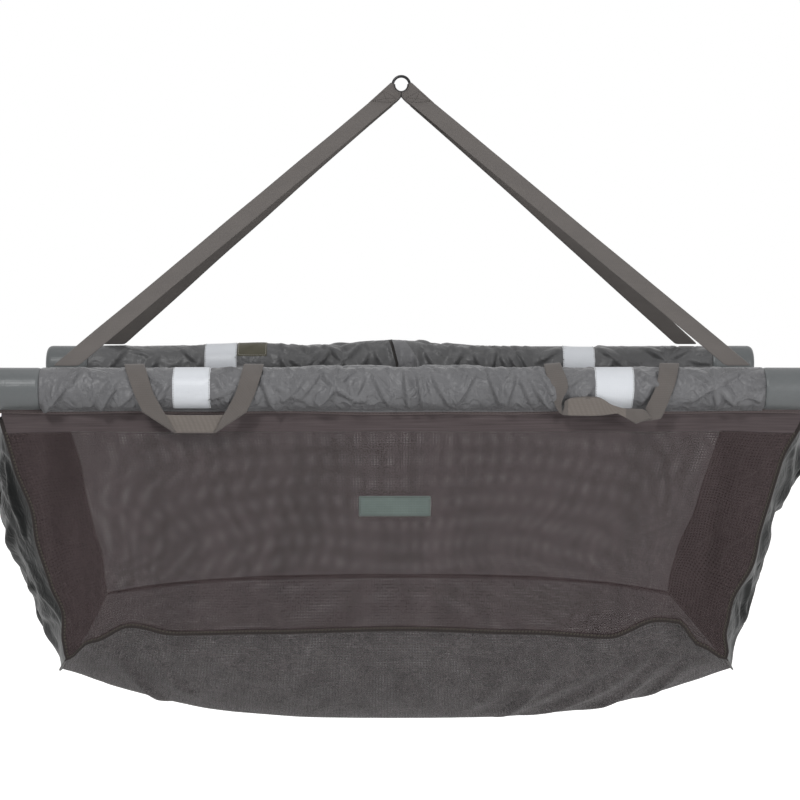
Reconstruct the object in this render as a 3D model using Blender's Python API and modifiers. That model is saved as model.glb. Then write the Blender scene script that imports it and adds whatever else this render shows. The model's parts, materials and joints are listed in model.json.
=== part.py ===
# A weigh sling: two float tubes hung by four webbing legs from one ring, with a mesh bag between them.
# Lengths are in metres. The origin is the hook's seat, at the top of the ring's hole. +Z is up,
# +X runs along the float tubes, and -Y is the front, where the label is.

import math

import bmesh
import bpy
from mathutils import Matrix, Vector

# Sizes that all pieces share
SEAT_GAP = 0.0003  # between two pieces that touch
CUT_OVERRUN = 0.002  # how far a cutter reaches past what it cuts
WELD = 0.000001  # points closer than this are one point
ROUND_STEPS = 24  # sides of a full circle

# Ring and webbing
RING_BORE_DIAMETER = 0.020
RING_WIRE_DIAMETER = 0.004
WEBBING_WIDTH = 0.025
WEBBING_THICKNESS = 0.0015
LOOP_FOLD_WIDTH = 0.0128  # the loop where it is gathered inside the ring
LOOP_TAPER_LENGTH = 0.0052  # over which its two layers come together under the ring

# How the sling hangs open
TUBE_SPREAD = 0.475  # between the two tubes' axes
TUBE_DEPTH = 0.412  # tube axis below the ring's centre
LEG_SPREAD = 0.886  # between the feet of a side's two legs
LEG_HINGE_DEPTH = 0.026  # where the legs leave the loops, below the ring's centre
CLOSED_SPREAD = 0.070  # between the tubes' axes when the sling is shut

# Float tube
TUBE_LENGTH = 1.09
TUBE_DIAMETER = 0.056
END_SLEEVE_LENGTH = 0.065
SLEEVE_THICKNESS = 0.001
HEM_LENGTH = 0.008  # below the tube
HEM_GRIP = 0.005  # how far the mesh goes up into the hem
FLOAT_DIAMETER = 0.050
ANCHOR_THICKNESS = 0.0012  # webbing loop round the float
ANCHOR_RISE = 0.001  # above the sleeve's top
SLOT_CLEARANCE = 0.0018  # round the webbing in the sleeve's slot

# Bar inside the float
BAR_DIAMETER = 0.012
BAR_WALL = 0.001
SPIGOT_LENGTH = 0.080
PLUG_FLANGE_DIAMETER = 0.020
PLUG_FLANGE_THICKNESS = 0.005
PLUG_STEM_LENGTH = 0.020
PLUG_PROUD = 0.001
PLUG_HOLE_CLEARANCE = 0.001

# Reflective bands
BAND_WIDTH = 0.050
BAND_THICKNESS = 0.0007
BAND_OFFSET = 0.279  # from the sling's middle
BAND_START_DEGREES = -66  # round the tube, from its outer side

# Handles
FRONT_HANDLE_OFFSET = 0.274  # from the sling's middle
BACK_HANDLE_OFFSET = 0.262  # clear of the closure patch
HANDLE_SPREAD = 0.155  # between its two sewn ends
HANDLE_FOOT_LENGTH = 0.092
HANDLE_FOOT_DEPTH = 0.059  # its lower edge, below the tube's axis
HANDLE_SEAT_DEGREES = 8  # where it is sewn on, from the tube's top towards the outer side
HANDLE_TAB_LENGTH = 0.014
HANDLE_WRAP_STEPS = 9

# Mesh panel under each tube
MESH_THICKNESS = 0.0008
PANEL_TOP_WIDTH = 1.058
PANEL_FOOT_WIDTH = 0.898
PANEL_FOOT_DEPTH = 0.325  # below the tube's axis, in the middle
PANEL_CORNER_DEPTH = 0.360  # below the tube's axis, at the two corners
PANEL_CORNER_ROUND = 0.022
PANEL_FOOT_POWER = 8  # how late the foot drops to its corners
FOOT_STEPS = 16
CORNER_STEPS = 4
BINDING_DIAMETER = 0.0036

# Gussets and floor
GUSSET_THICKNESS = 0.0008
GUSSET_TOP_REACH = 0.578  # from the sling's middle, halfway between the tubes
GUSSET_TOP_DEPTH = 0.090  # below the tubes' axes
GUSSET_FOOT_REACH = 0.483
GUSSET_FOOT_DEPTH = 0.413
GUSSET_BULGE = 0.027
GUSSET_HEM_DIAMETER = 0.008
KEEL_DEPTH = 0.497  # the floor's lowest line, below the tubes' axes
KEEL_POWER = 3
SEAM_STEPS = 16
GUSSET_ROWS = 8
FLOOR_COLUMNS = 24
FLOOR_ROWS = 12

# Label, closure patch and placket
LABEL_WIDTH = 0.095
LABEL_HEIGHT = 0.027
LABEL_THICKNESS = 0.0012
LABEL_ROUND = 0.003
LABEL_OFFSET = -0.010
LABEL_DEPTH = 0.156
PATCH_WIDTH = 0.047
PATCH_THICKNESS = 0.0012
PATCH_OFFSET = -0.229
PATCH_TURN_DEGREES = (70, 165)  # round the tube, from its outer side
PLACKET_WIDTH = 0.038
PLACKET_THICKNESS = 0.0012
PLACKET_OFFSET = 0.006
PLACKET_TURN_DEGREES = (100, 225)

# Worked out from the sizes above
ring_centre = Vector((0, 0, -RING_BORE_DIAMETER / 2))
ring_radius = (RING_BORE_DIAMETER + RING_WIRE_DIAMETER) / 2
tube_radius = TUBE_DIAMETER / 2
tube_height = ring_centre.z - TUBE_DEPTH
half_spread = TUBE_SPREAD / 2
half_tube = TUBE_LENGTH / 2
half_webbing = WEBBING_THICKNESS / 2
hem_depth = tube_radius + HEM_LENGTH
hem_slot = MESH_THICKNESS / 2 + SEAT_GAP
sleeve_end = half_tube - END_SLEEVE_LENGTH
binding_radius = BINDING_DIAMETER / 2
binding_inset = binding_radius + SEAT_GAP

# The legs turn on two lines along X: one under the loops, one over each tube's top
leg_top = Vector((0, half_webbing + SEAT_GAP, ring_centre.z - LEG_HINGE_DEPTH))
leg_foot_rise = tube_radius + ANCHOR_RISE + SEAT_GAP + half_webbing
leg_foot = Vector((LEG_SPREAD / 2, half_spread, tube_height + leg_foot_rise))
leg_top.x = leg_foot.x * LEG_HINGE_DEPTH / (ring_centre.z - leg_foot.z)
leg_length = math.hypot(leg_foot.y - leg_top.y, leg_foot.z - leg_top.z)
leg_angle = math.atan2(leg_foot.y - leg_top.y, leg_top.z - leg_foot.z)
leg_shift = leg_foot.x - leg_top.x
leg_width = WEBBING_WIDTH * math.hypot(leg_length, leg_shift) / leg_length
closed_angle = math.asin((CLOSED_SPREAD / 2 - leg_top.y) / leg_length)
closing_turn = leg_angle - closed_angle
closing_drop = leg_length * (math.cos(closed_angle) - math.cos(leg_angle))

# The handles turn where they are sewn on
handle_radius = tube_radius + SEAT_GAP + half_webbing
handle_seat = math.radians(HANDLE_SEAT_DEGREES)

materials = {}
bodies = {}


# Scene, materials and pieces


def clear_scene():
    for thing in list(bpy.data.objects):
        bpy.data.objects.remove(thing)


def new_collection(name):
    collection = bpy.data.collections.new(name)
    bpy.context.scene.collection.children.link(collection)
    return collection


def add_material(name, colour, roughness, metallic=0.0):
    material = bpy.data.materials.new(name)
    material.use_nodes = True
    shader = material.node_tree.nodes["Principled BSDF"]
    shader.inputs["Base Color"].default_value = (*colour, 1)
    shader.inputs["Roughness"].default_value = roughness
    shader.inputs["Metallic"].default_value = metallic
    materials[name] = material


def add_materials():
    add_material("black_steel", (0.012, 0.012, 0.013), 0.25, 1.0)
    add_material("webbing", (0.135, 0.118, 0.107), 0.85)
    add_material("sleeve_nylon", (0.130, 0.130, 0.120), 0.6)
    add_material("coated_nylon", (0.165, 0.175, 0.155), 0.45)
    add_material("foam", (0.030, 0.030, 0.030), 0.9)
    add_material("aluminium", (0.75, 0.75, 0.76), 0.3, 1.0)
    add_material("black_plastic", (0.020, 0.020, 0.020), 0.5)
    add_material("reflective_tape", (0.70, 0.71, 0.70), 0.35)
    add_material("mesh", (0.082, 0.070, 0.066), 0.8)
    add_material("binding", (0.050, 0.045, 0.042), 0.8)
    add_material("gusset_nylon", (0.120, 0.125, 0.105), 0.55)
    add_material("label", (0.085, 0.110, 0.098), 0.6)
    add_material("olive_hook_tape", (0.075, 0.070, 0.040), 0.9)


def add_body(name, place=(0, 0, 0), parent=None):
    # An empty on the joint's axis, which its pieces hang from
    body = bpy.data.objects.new(name + "_axis", None)
    body.location = Vector(place)
    if parent:
        body.parent = bodies[parent]
        body.location -= bodies[parent].matrix_world.translation
    sling.objects.link(body)
    bpy.context.view_layer.update()
    bodies[name] = body


def settle(piece, body, place):
    piece.parent = bodies[body]
    piece.location = Vector(place) - bodies[body].matrix_world.translation


def add_piece(name, shape, material, body, place=(0, 0, 0)):
    piece = bpy.data.objects.new(name, shape)
    sling.objects.link(piece)
    settle(piece, body, place)
    shape.materials.append(materials[material])
    if piece.type == "MESH":
        shape.shade_smooth()
        shape.set_sharp_from_angle(angle=math.radians(40))
    return piece


def cut(piece, shape, body, place):
    cutter = bpy.data.objects.new(piece.name + "_cutter", shape)
    cutters.objects.link(cutter)
    settle(cutter, body, place)
    cutter.hide_render = True
    cutter.display_type = "WIRE"
    modifier = piece.modifiers.new("Cut", "BOOLEAN")
    modifier.operation = "DIFFERENCE"
    modifier.object = cutter


# Shapes


def arc(radius, start, end, steps, centre=(0, 0)):
    turns = [start + (end - start) * step / steps for step in range(steps + 1)]
    return [(centre[0] + radius * math.cos(turn), centre[1] + radius * math.sin(turn)) for turn in turns]


def circle(radius):
    return arc(radius, 0, math.tau, ROUND_STEPS)[:-1]


def keyhole(radius, half_gap, depth):
    # A circle that opens downwards into a hem of the given half width
    opening = math.asin(half_gap / radius)
    quarter = math.pi / 2
    around = arc(radius, opening - quarter, 3 * quarter - opening, ROUND_STEPS)
    return [(half_gap, -depth), *around, (-half_gap, -depth)]


def along_x():
    # Turns an outline's first axis to +Y, its second to +Z and its thickness to X
    quarter = math.radians(90)
    return Matrix.Rotation(quarter, 4, "Z") @ Matrix.Rotation(quarter, 4, "X")


def facing_front():
    # Turns an outline's first axis to +X, its second to +Z and its thickness to Y
    return Matrix.Rotation(math.radians(90), 4, "X")


def prism(name, outlines, length, turn):
    curve = bpy.data.curves.new(name, "CURVE")
    curve.dimensions = "2D"
    curve.fill_mode = "BOTH"
    curve.extrude = length / 2
    for outline in outlines:
        spline = curve.splines.new("POLY")
        spline.points.add(len(outline) - 1)
        for point, (across, up) in zip(spline.points, outline):
            point.co = (across, up, 0, 1)
        spline.use_cyclic_u = True
    guide = bpy.data.objects.new(name, curve)
    sling.objects.link(guide)
    graph = bpy.context.evaluated_depsgraph_get()
    shape = bpy.data.meshes.new_from_object(guide.evaluated_get(graph))
    bpy.data.objects.remove(guide)
    bpy.data.curves.remove(curve)
    shape.transform(turn)
    return tidied(shape)


def tidied(shape):
    built = bmesh.new()
    built.from_mesh(shape)
    bmesh.ops.remove_doubles(built, verts=built.verts, dist=WELD)
    bmesh.ops.recalc_face_normals(built, faces=built.faces)
    built.to_mesh(shape)
    built.free()
    return shape


def moved(shape, place):
    # Puts each point of a shape where place() says, and turns its faces out again
    for vertex in shape.vertices:
        vertex.co = place(vertex.co)
    return tidied(shape)


def grid(name, columns, rows, place):
    # An open sheet, whose two shares run from 0 to 1
    built = bmesh.new()
    bmesh.ops.create_grid(built, x_segments=columns, y_segments=rows, size=1)
    for vertex in built.verts:
        vertex.co = place((vertex.co.x + 1) / 2, (vertex.co.y + 1) / 2)
    shape = bpy.data.meshes.new(name)
    built.to_mesh(shape)
    built.free()
    return shape


def add_sheet(name, shape, thickness, material, body, place=(0, 0, 0)):
    piece = add_piece(name, shape, material, body, place)
    wall = piece.modifiers.new("Thickness", "SOLIDIFY")
    wall.thickness = thickness
    wall.offset = 0
    wall.use_even_offset = True
    return piece


def add_cord(name, points, radius, material, body, place=(0, 0, 0)):
    curve = bpy.data.curves.new(name, "CURVE")
    curve.dimensions = "3D"
    curve.bevel_depth = radius
    curve.bevel_resolution = 2
    curve.use_fill_caps = True
    spline = curve.splines.new("POLY")
    spline.points.add(len(points) - 1)
    for point, where in zip(spline.points, points):
        point.co = (*where, 1)
    return add_piece(name, curve, material, body, place)


def wrap(name, radius, thickness, turns, side, width):
    # A strip laid round a tube, between two turns in radians from its outer side over its top
    steps = max(2, round(ROUND_STEPS * (turns[1] - turns[0]) / math.tau))
    outline = arc(radius, *turns, steps) + arc(radius + thickness, turns[1], turns[0], steps)
    outline = [(across * side, up) for across, up in outline]
    return prism(name, [outline], width, along_x())


# Ring, loops and legs


def add_ring():
    bpy.ops.mesh.primitive_torus_add(
        major_radius=ring_radius,
        minor_radius=RING_WIRE_DIAMETER / 2,
        major_segments=ROUND_STEPS,
        minor_segments=ROUND_STEPS // 4,
    )
    torus = bpy.context.object
    shape = torus.data
    bpy.data.objects.remove(torus)
    shape.transform(facing_front())
    add_piece("lifting_ring", shape, "black_steel", "ring", ring_centre)


def loop_place(hand, along, depth, across):
    # Along the strap from the ring's centre, and across it towards its lower edge
    slope = math.atan2(ring_centre.z - leg_foot.z, leg_foot.x)
    down = Vector((hand * math.cos(slope), 0, -math.sin(slope)))
    lower = Vector((-hand * math.sin(slope), 0, -math.cos(slope)))
    return along * down + across * lower + Vector((0, depth, 0))


def add_ring_loop(name, hand):
    slope = math.atan2(ring_centre.z - leg_foot.z, leg_foot.x)
    cavity = RING_WIRE_DIAMETER / 2 + SEAT_GAP
    outside = cavity + WEBBING_THICKNESS
    fold_centre = ring_radius - 2 * RING_WIRE_DIAMETER / 2
    under_ring = ring_radius + cavity
    joined = under_ring + LOOP_TAPER_LENGTH
    hinge_drop = LEG_HINGE_DEPTH - half_webbing - SEAT_GAP
    far_end = 2 * WEBBING_WIDTH  # replaced by the level cut
    half_turn = (math.pi / 2, 3 * math.pi / 2)
    outer = arc(outside, *half_turn, ROUND_STEPS // 4, (fold_centre, 0))
    outer += [(under_ring, -outside), (joined, -WEBBING_THICKNESS)]
    outer += [(far_end, -WEBBING_THICKNESS), (far_end, WEBBING_THICKNESS)]
    outer += [(joined, WEBBING_THICKNESS), (under_ring, outside)]
    inner = arc(cavity, *half_turn, ROUND_STEPS // 4, (fold_centre, 0))
    inner += [(under_ring, -cavity), (joined - WEBBING_THICKNESS, 0), (under_ring, cavity)]

    def place(point):
        along, depth, low = point.x, point.y, point.z > 0
        fold_start = fold_centre - outside
        widening = (along - fold_start) / (ring_radius - fold_start)
        upper = LOOP_FOLD_WIDTH / 2 + widening * (WEBBING_WIDTH - LOOP_FOLD_WIDTH) / 2
        lower = (along * math.cos(slope) - SEAT_GAP / 2) / math.sin(slope)
        across = min(WEBBING_WIDTH / 2, lower) if low else -min(WEBBING_WIDTH / 2, upper)
        if along > joined + WELD:
            along = (hinge_drop - across * math.cos(slope)) / math.sin(slope)
        return loop_place(hand, along, depth, across)

    shape = prism(name, [outer, inner], WEBBING_WIDTH, Matrix.Identity(4))
    add_piece(name, moved(shape, place), "webbing", "ring", ring_centre)


def add_leg(name, side, hand, body):
    # A flat strap whose ends are level and round, so that it can turn on them
    top = arc(half_webbing, 0, math.pi, ROUND_STEPS // 4)
    foot = arc(half_webbing, math.pi, math.tau, ROUND_STEPS // 4, (0, -leg_length))
    shape = prism(name, [top + foot], leg_width, along_x())

    def place(point):
        shift = leg_top.x - point.z / leg_length * leg_shift
        return Vector((point.x + hand * shift, point.y, point.z))

    leg = add_piece(name, moved(shape, place), "webbing", body, (0, side * leg_top.y, leg_top.z))
    leg.rotation_euler.x = side * leg_angle


# Float tubes


def tube_place(side, offset=0.0):
    return Vector((offset, side * half_spread, tube_height))


def add_sleeve(name, side, body):
    outside = keyhole(tube_radius, hem_slot + SLEEVE_THICKNESS, hem_depth)
    inside = keyhole(tube_radius - SLEEVE_THICKNESS, hem_slot, hem_depth)
    length = 2 * sleeve_end - SEAT_GAP
    shape = prism(name, [outside + inside[::-1]], length, along_x())
    sleeve = add_piece(name, shape, "sleeve_nylon", body, tube_place(side))
    slot_length = leg_width + 2 * SLOT_CLEARANCE
    slot_half = half_webbing + SLOT_CLEARANCE
    slot_top = tube_radius + CUT_OVERRUN
    slot_foot = tube_radius - SLEEVE_THICKNESS - CUT_OVERRUN
    slot = [(-slot_half, slot_foot), (slot_half, slot_foot), (slot_half, slot_top), (-slot_half, slot_top)]
    for hand in (-1, 1):
        cut(sleeve, prism(name, [slot], slot_length, along_x()), body, tube_place(side, hand * leg_foot.x))


def add_end_sleeve(name, side, hand, body):
    # Closed at its outer end, but for the bar's hole
    outside = keyhole(tube_radius, hem_slot + SLEEVE_THICKNESS, hem_depth)
    inside = keyhole(tube_radius - SLEEVE_THICKNESS, hem_slot, hem_depth + CUT_OVERRUN)
    length = END_SLEEVE_LENGTH - SEAT_GAP / 2
    centre = hand * (half_tube - length / 2)
    shape = prism(name, [outside], length, along_x())
    end_sleeve = add_piece(name, shape, "coated_nylon", body, tube_place(side, centre))
    hollow = length - SLEEVE_THICKNESS + CUT_OVERRUN
    hollow_centre = hand * (half_tube - SLEEVE_THICKNESS - hollow / 2)
    cut(end_sleeve, prism(name, [inside], hollow, along_x()), body, tube_place(side, hollow_centre))
    hole = circle(PLUG_FLANGE_DIAMETER / 2 + PLUG_HOLE_CLEARANCE)
    hole_length = 2 * (SLEEVE_THICKNESS + CUT_OVERRUN)
    cut(end_sleeve, prism(name, [hole], hole_length, along_x()), body, tube_place(side, hand * half_tube))


def add_float(name, side, body):
    end = half_tube + PLUG_PROUD - PLUG_FLANGE_THICKNESS - SEAT_GAP
    bore = circle(BAR_DIAMETER / 2 + SEAT_GAP)
    shape = prism(name, [circle(FLOAT_DIAMETER / 2), bore], 2 * end, along_x())
    add_piece(name, shape, "foam", body, tube_place(side))


def add_strap_anchor(name, side, hand, body):
    # A webbing loop round the float, with a tongue up through the sleeve's slot
    inner_radius = FLOAT_DIAMETER / 2 + SEAT_GAP
    outer_radius = inner_radius + ANCHOR_THICKNESS
    tongue = math.asin(half_webbing / outer_radius)
    top = tube_radius + ANCHOR_RISE
    up = math.pi / 2
    outline = arc(outer_radius, up + tongue, up + math.tau - tongue, ROUND_STEPS)
    outline += [(half_webbing, top), (-half_webbing, top)]
    shape = prism(name, [outline, circle(inner_radius)], leg_width, along_x())
    add_piece(name, shape, "webbing", body, tube_place(side, hand * leg_foot.x))


def add_band(name, side, hand, body):
    start = math.radians(BAND_START_DEGREES)
    turns = (start, math.pi - start)
    shape = wrap(name, tube_radius + SEAT_GAP, BAND_THICKNESS, turns, side, BAND_WIDTH)
    add_piece(name, shape, "reflective_tape", body, tube_place(side, hand * BAND_OFFSET))


def add_bar(side, hand, name, body):
    start = SEAT_GAP / 2
    flange_face = half_tube + PLUG_PROUD
    end = flange_face - PLUG_FLANGE_THICKNESS - SEAT_GAP
    bore_radius = BAR_DIAMETER / 2 - BAR_WALL
    tube = prism(name, [circle(BAR_DIAMETER / 2), circle(bore_radius)], end - start, along_x())
    add_piece(name, tube, "aluminium", body, tube_place(side, hand * (start + end) / 2))
    # Each plug is turned round the bar's axis: a flange, a step and the stem
    stem_radius = bore_radius - SEAT_GAP
    flange_radius = PLUG_FLANGE_DIAMETER / 2
    profile = bpy.data.meshes.new(name + "_plug")
    built = bmesh.new()
    outline = [
        (0, 0),
        (flange_radius, 0),
        (flange_radius, -PLUG_FLANGE_THICKNESS),
        (stem_radius, -PLUG_FLANGE_THICKNESS),
        (stem_radius, -PLUG_FLANGE_THICKNESS - PLUG_STEM_LENGTH),
        (0, -PLUG_FLANGE_THICKNESS - PLUG_STEM_LENGTH),
    ]
    corners = [built.verts.new((across, 0, up)) for across, up in outline]
    for first, second in zip(corners, corners[1:]):
        built.edges.new((first, second))
    built.to_mesh(profile)
    built.free()
    plug = add_piece(name + "_plug", profile, "black_plastic", body, tube_place(side, hand * flange_face))
    turned = plug.modifiers.new("Turned", "SCREW")
    turned.steps = ROUND_STEPS // 2
    turned.render_steps = ROUND_STEPS // 2
    turned.use_merge_vertices = True
    turned.merge_threshold = WELD
    plug.rotation_euler.y = hand * math.pi / 2
    if hand < 0:
        spigot = prism(name + "_spigot", [circle(stem_radius)], SPIGOT_LENGTH, along_x())
        add_piece(name + "_spigot", spigot, "aluminium", body, tube_place(side))


# Handles


def handle_place(side, across, along):
    # Along a handle's webbing from its sewn end, round the tube to its outer side and straight down
    wrapped = (math.pi / 2 - handle_seat) * handle_radius
    turn = handle_seat + min(along, wrapped) / handle_radius
    out = handle_radius * math.sin(turn)
    up = handle_radius * math.cos(turn) - max(0, along - wrapped)
    return Vector((across, side * out, up))


def handle_stations(side):
    # Inner and outer edge points down one leg, along the foot and up the other leg
    foot = (math.pi / 2 - handle_seat) * handle_radius + HANDLE_FOOT_DEPTH
    slope = (HANDLE_SPREAD - HANDLE_FOOT_LENGTH + WEBBING_WIDTH) / 2 / foot
    width = WEBBING_WIDTH * math.hypot(1, slope)
    foot_outer = HANDLE_FOOT_LENGTH / 2
    wrapped = foot - HANDLE_FOOT_DEPTH
    stations = []
    for step in range(HANDLE_WRAP_STEPS + 1):
        along = wrapped * step / HANDLE_WRAP_STEPS
        outer = foot_outer + slope * (foot - along)
        stations.append(((outer - width, along), (outer, along)))
    corner = foot_outer + slope * WEBBING_WIDTH - width
    stations.append(((corner, foot - WEBBING_WIDTH), (foot_outer, foot)))
    mirrored = [((-inner[0], inner[1]), (-outer[0], outer[1])) for inner, outer in stations[::-1]]
    return [[handle_place(side, *edge) for edge in pair] for pair in stations + mirrored]


def handle_offset(side, hand):
    return hand * (FRONT_HANDLE_OFFSET if side < 0 else BACK_HANDLE_OFFSET)


def handle_axis(side, hand):
    return tube_place(side, handle_offset(side, hand)) + handle_place(side, 0, 0)


def add_handle(name, side, hand, body):
    stations = handle_stations(side)
    rows = len(stations) - 1
    shape = grid(name, 1, rows, lambda across, along: stations[round(along * rows)][round(across)])
    add_sheet(name, shape, WEBBING_THICKNESS, "webbing", body, tube_place(side, handle_offset(side, hand)))


def add_handle_tabs(name, side, hand, body):
    # A webbing tab on the sleeve's top behind each of a handle's two sewn ends
    tab_turn = HANDLE_TAB_LENGTH / handle_radius
    start = math.pi / 2 - handle_seat + (half_webbing + SEAT_GAP) / handle_radius
    seat = handle_stations(side)[0]
    width = (seat[1] - seat[0]).length
    centre = (seat[1].x + seat[0].x) / 2
    for end, ending in ((-1, "_inner"), (1, "_outer")):
        turns = (start, start + tab_turn)
        tab = wrap(name + ending, tube_radius + SEAT_GAP, WEBBING_THICKNESS, turns, side, width)
        place = tube_place(side, handle_offset(side, hand) + hand * end * centre)
        add_piece(name + ending, tab, "webbing", body, place)


# Mesh panels


def panel_depth(share):
    return PANEL_FOOT_DEPTH + (PANEL_CORNER_DEPTH - PANEL_FOOT_DEPTH) * abs(share) ** PANEL_FOOT_POWER


def panel_side(depth):
    # Half width of the panel at a depth under the tube's axis
    share = (depth - hem_depth) / (PANEL_CORNER_DEPTH - hem_depth)
    return PANEL_TOP_WIDTH / 2 + share * (PANEL_FOOT_WIDTH - PANEL_TOP_WIDTH) / 2


def panel_edge(top_depth, inset):
    # From the top left, round the two lower corners, to the top right
    corner = Vector((PANEL_FOOT_WIDTH / 2 - inset, -PANEL_CORNER_DEPTH + inset))
    above_depth = PANEL_CORNER_DEPTH - inset - PANEL_CORNER_ROUND
    above = Vector((panel_side(above_depth) - inset, -above_depth))
    foot_reach = corner.x - PANEL_CORNER_ROUND
    inwards = Vector((foot_reach, inset - panel_depth(foot_reach / (PANEL_FOOT_WIDTH / 2))))
    right = [(panel_side(top_depth) - inset, -top_depth)]
    for step in range(CORNER_STEPS + 1):
        share = step / CORNER_STEPS
        right.append(tuple(above.lerp(corner, share).lerp(corner.lerp(inwards, share), share)))
    for step in range(1, FOOT_STEPS // 2):
        reach = foot_reach * (1 - 2 * step / FOOT_STEPS)
        right.append((reach, inset - panel_depth(reach / (PANEL_FOOT_WIDTH / 2))))
    middle = (0, inset - panel_depth(0))
    left = [(-across, up) for across, up in right]
    return left + [middle] + right[::-1]


def add_mesh_panel(name, side, body):
    outline = panel_edge(hem_depth - HEM_GRIP, binding_inset)
    shape = prism(name, [outline], MESH_THICKNESS, facing_front())
    add_piece(name, shape, "mesh", body, tube_place(side))


def add_seam_binding(name, side, body):
    start = hem_depth + SEAT_GAP + binding_radius / 2
    points = [(across, 0, up) for across, up in panel_edge(start, 0)]
    add_cord(name, points, binding_radius, "binding", body, tube_place(side))


def add_label():
    half_width, half_height = LABEL_WIDTH / 2, LABEL_HEIGHT / 2
    outline = []
    for across, up, start in ((1, 1, 0), (-1, 1, 1), (-1, -1, 2), (1, -1, 3)):
        centre = (across * (half_width - LABEL_ROUND), up * (half_height - LABEL_ROUND))
        quarter = math.pi / 2
        outline += arc(LABEL_ROUND, start * quarter, (start + 1) * quarter, CORNER_STEPS, centre)
    shape = prism("front_label", [outline], LABEL_THICKNESS, facing_front())
    out = MESH_THICKNESS / 2 + SEAT_GAP + LABEL_THICKNESS / 2
    place = tube_place(-1, LABEL_OFFSET) - Vector((0, out, LABEL_DEPTH))
    add_piece("front_label", shape, "label", "front_side", place)


# Gussets and floor, which lie between the two panels' seams


def gusset_place(hand, across, down):
    # Across runs from -1 at the front seam to 1 at the back one, down from 0 to 1
    top_depth = hem_depth + SEAT_GAP + GUSSET_HEM_DIAMETER / 2
    seam = Vector((panel_side(top_depth), -top_depth))
    seam = seam.lerp(Vector((PANEL_FOOT_WIDTH / 2, -PANEL_CORNER_DEPTH)), down)
    middle = Vector((GUSSET_TOP_REACH, -GUSSET_TOP_DEPTH))
    middle = middle.lerp(Vector((GUSSET_FOOT_REACH, -GUSSET_FOOT_DEPTH)), down)
    middle.x += GUSSET_BULGE * 4 * down * (1 - down)
    point = seam.lerp(middle, 1 - across**2)
    reach = half_spread - binding_inset - GUSSET_THICKNESS / 2
    return Vector((hand * point.x, across * reach, tube_height + point.y))


def floor_place(along, across):
    # Along runs from -1 at the left gusset to 1 at the right one
    end = gusset_place(1, across, 1)
    seam = -panel_depth(along)
    corner_rise = (GUSSET_FOOT_DEPTH - KEEL_DEPTH) * abs(along) ** KEEL_POWER
    keel = -KEEL_DEPTH - corner_rise
    up = seam + (keel - seam) * (1 - across**2)
    return Vector((along * end.x, end.y, tube_height + up))


def add_gusset(name, hand):
    # It stops short of its hem above and of the floor's binding below
    height = PANEL_CORNER_DEPTH - hem_depth
    first = (GUSSET_HEM_DIAMETER / 2 + SEAT_GAP + GUSSET_THICKNESS / 2) / height
    last = 1 - (binding_inset + GUSSET_THICKNESS / 2) / height

    def place(across, down):
        return gusset_place(hand, 2 * across - 1, first + (last - first) * down)

    shape = grid(name, SEAM_STEPS, GUSSET_ROWS, place)
    add_sheet(name, shape, GUSSET_THICKNESS, "gusset_nylon", "bag")


def add_gusset_hem(name, hand):
    hem_radius = GUSSET_HEM_DIAMETER / 2
    end = 1 - (hem_radius / 2 + SEAT_GAP) / half_spread
    shares = [end * (2 * step / SEAM_STEPS - 1) for step in range(SEAM_STEPS + 1)]
    points = [gusset_place(hand, share, 0) for share in shares]
    add_cord(name, points, hem_radius, "gusset_nylon", "bag")


def add_floor():
    end = 1 - (binding_inset + MESH_THICKNESS / 2) / (PANEL_FOOT_WIDTH / 2)

    def place(along, across):
        return floor_place(end * (2 * along - 1), 2 * across - 1)

    shape = grid("base_mesh", FLOOR_COLUMNS, FLOOR_ROWS, place)
    add_sheet("base_mesh", shape, MESH_THICKNESS, "mesh", "bag")


def add_floor_binding(name, hand):
    end = 1 - (binding_radius + SEAT_GAP) / half_spread
    shares = [end * (2 * step / SEAM_STEPS - 1) for step in range(SEAM_STEPS + 1)]
    points = [gusset_place(hand, share, 1) for share in shares]
    add_cord(name, points, binding_radius, "binding", "bag")


# The sling


def add_side(front_or_back, side):
    body = front_or_back + "_side"
    legs = front_or_back + "_straps"
    add_body(legs, (0, side * leg_top.y, leg_top.z), "ring")
    add_body(body, (0, side * leg_foot.y, leg_foot.z), legs)
    add_sleeve(front_or_back + "_sleeve", side, body)
    add_float(front_or_back + "_float", side, body)
    for hand, left_or_right in ((-1, "left"), (1, "right")):
        ending = "_" + left_or_right
        handle = front_or_back + "_handle" + ending
        bar = front_or_back + "_bar" + ending
        add_leg(front_or_back + "_strap" + ending, side, hand, legs)
        add_end_sleeve(front_or_back + "_end_sleeve" + ending, side, hand, body)
        add_strap_anchor(front_or_back + "_strap_anchor" + ending, side, hand, body)
        add_band(front_or_back + "_band" + ending, side, hand, body)
        add_body(handle, handle_axis(side, hand), body)
        add_handle(handle, side, hand, handle)
        add_handle_tabs(front_or_back + "_handle_tab" + ending, side, hand, body)
        add_body(bar, tube_place(side), body)
        add_bar(side, hand, bar, bar)
    add_mesh_panel(front_or_back + "_mesh_panel", side, body)
    add_seam_binding(front_or_back + "_seam_binding", side, body)


def add_back_closures():
    patch_turns = [math.radians(turn) for turn in PATCH_TURN_DEGREES]
    patch = wrap("patch", tube_radius + SEAT_GAP, PATCH_THICKNESS, patch_turns, 1, PATCH_WIDTH)
    patch_place = tube_place(1, PATCH_OFFSET)
    add_piece("back_closure_patch", patch, "olive_hook_tape", "back_side", patch_place)
    placket_turns = [math.radians(turn) for turn in PLACKET_TURN_DEGREES]
    placket = wrap("placket", tube_radius + SEAT_GAP, PLACKET_THICKNESS, placket_turns, 1, PLACKET_WIDTH)
    placket_place = tube_place(1, PLACKET_OFFSET)
    add_piece("back_placket", placket, "sleeve_nylon", "back_side", placket_place)


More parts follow.
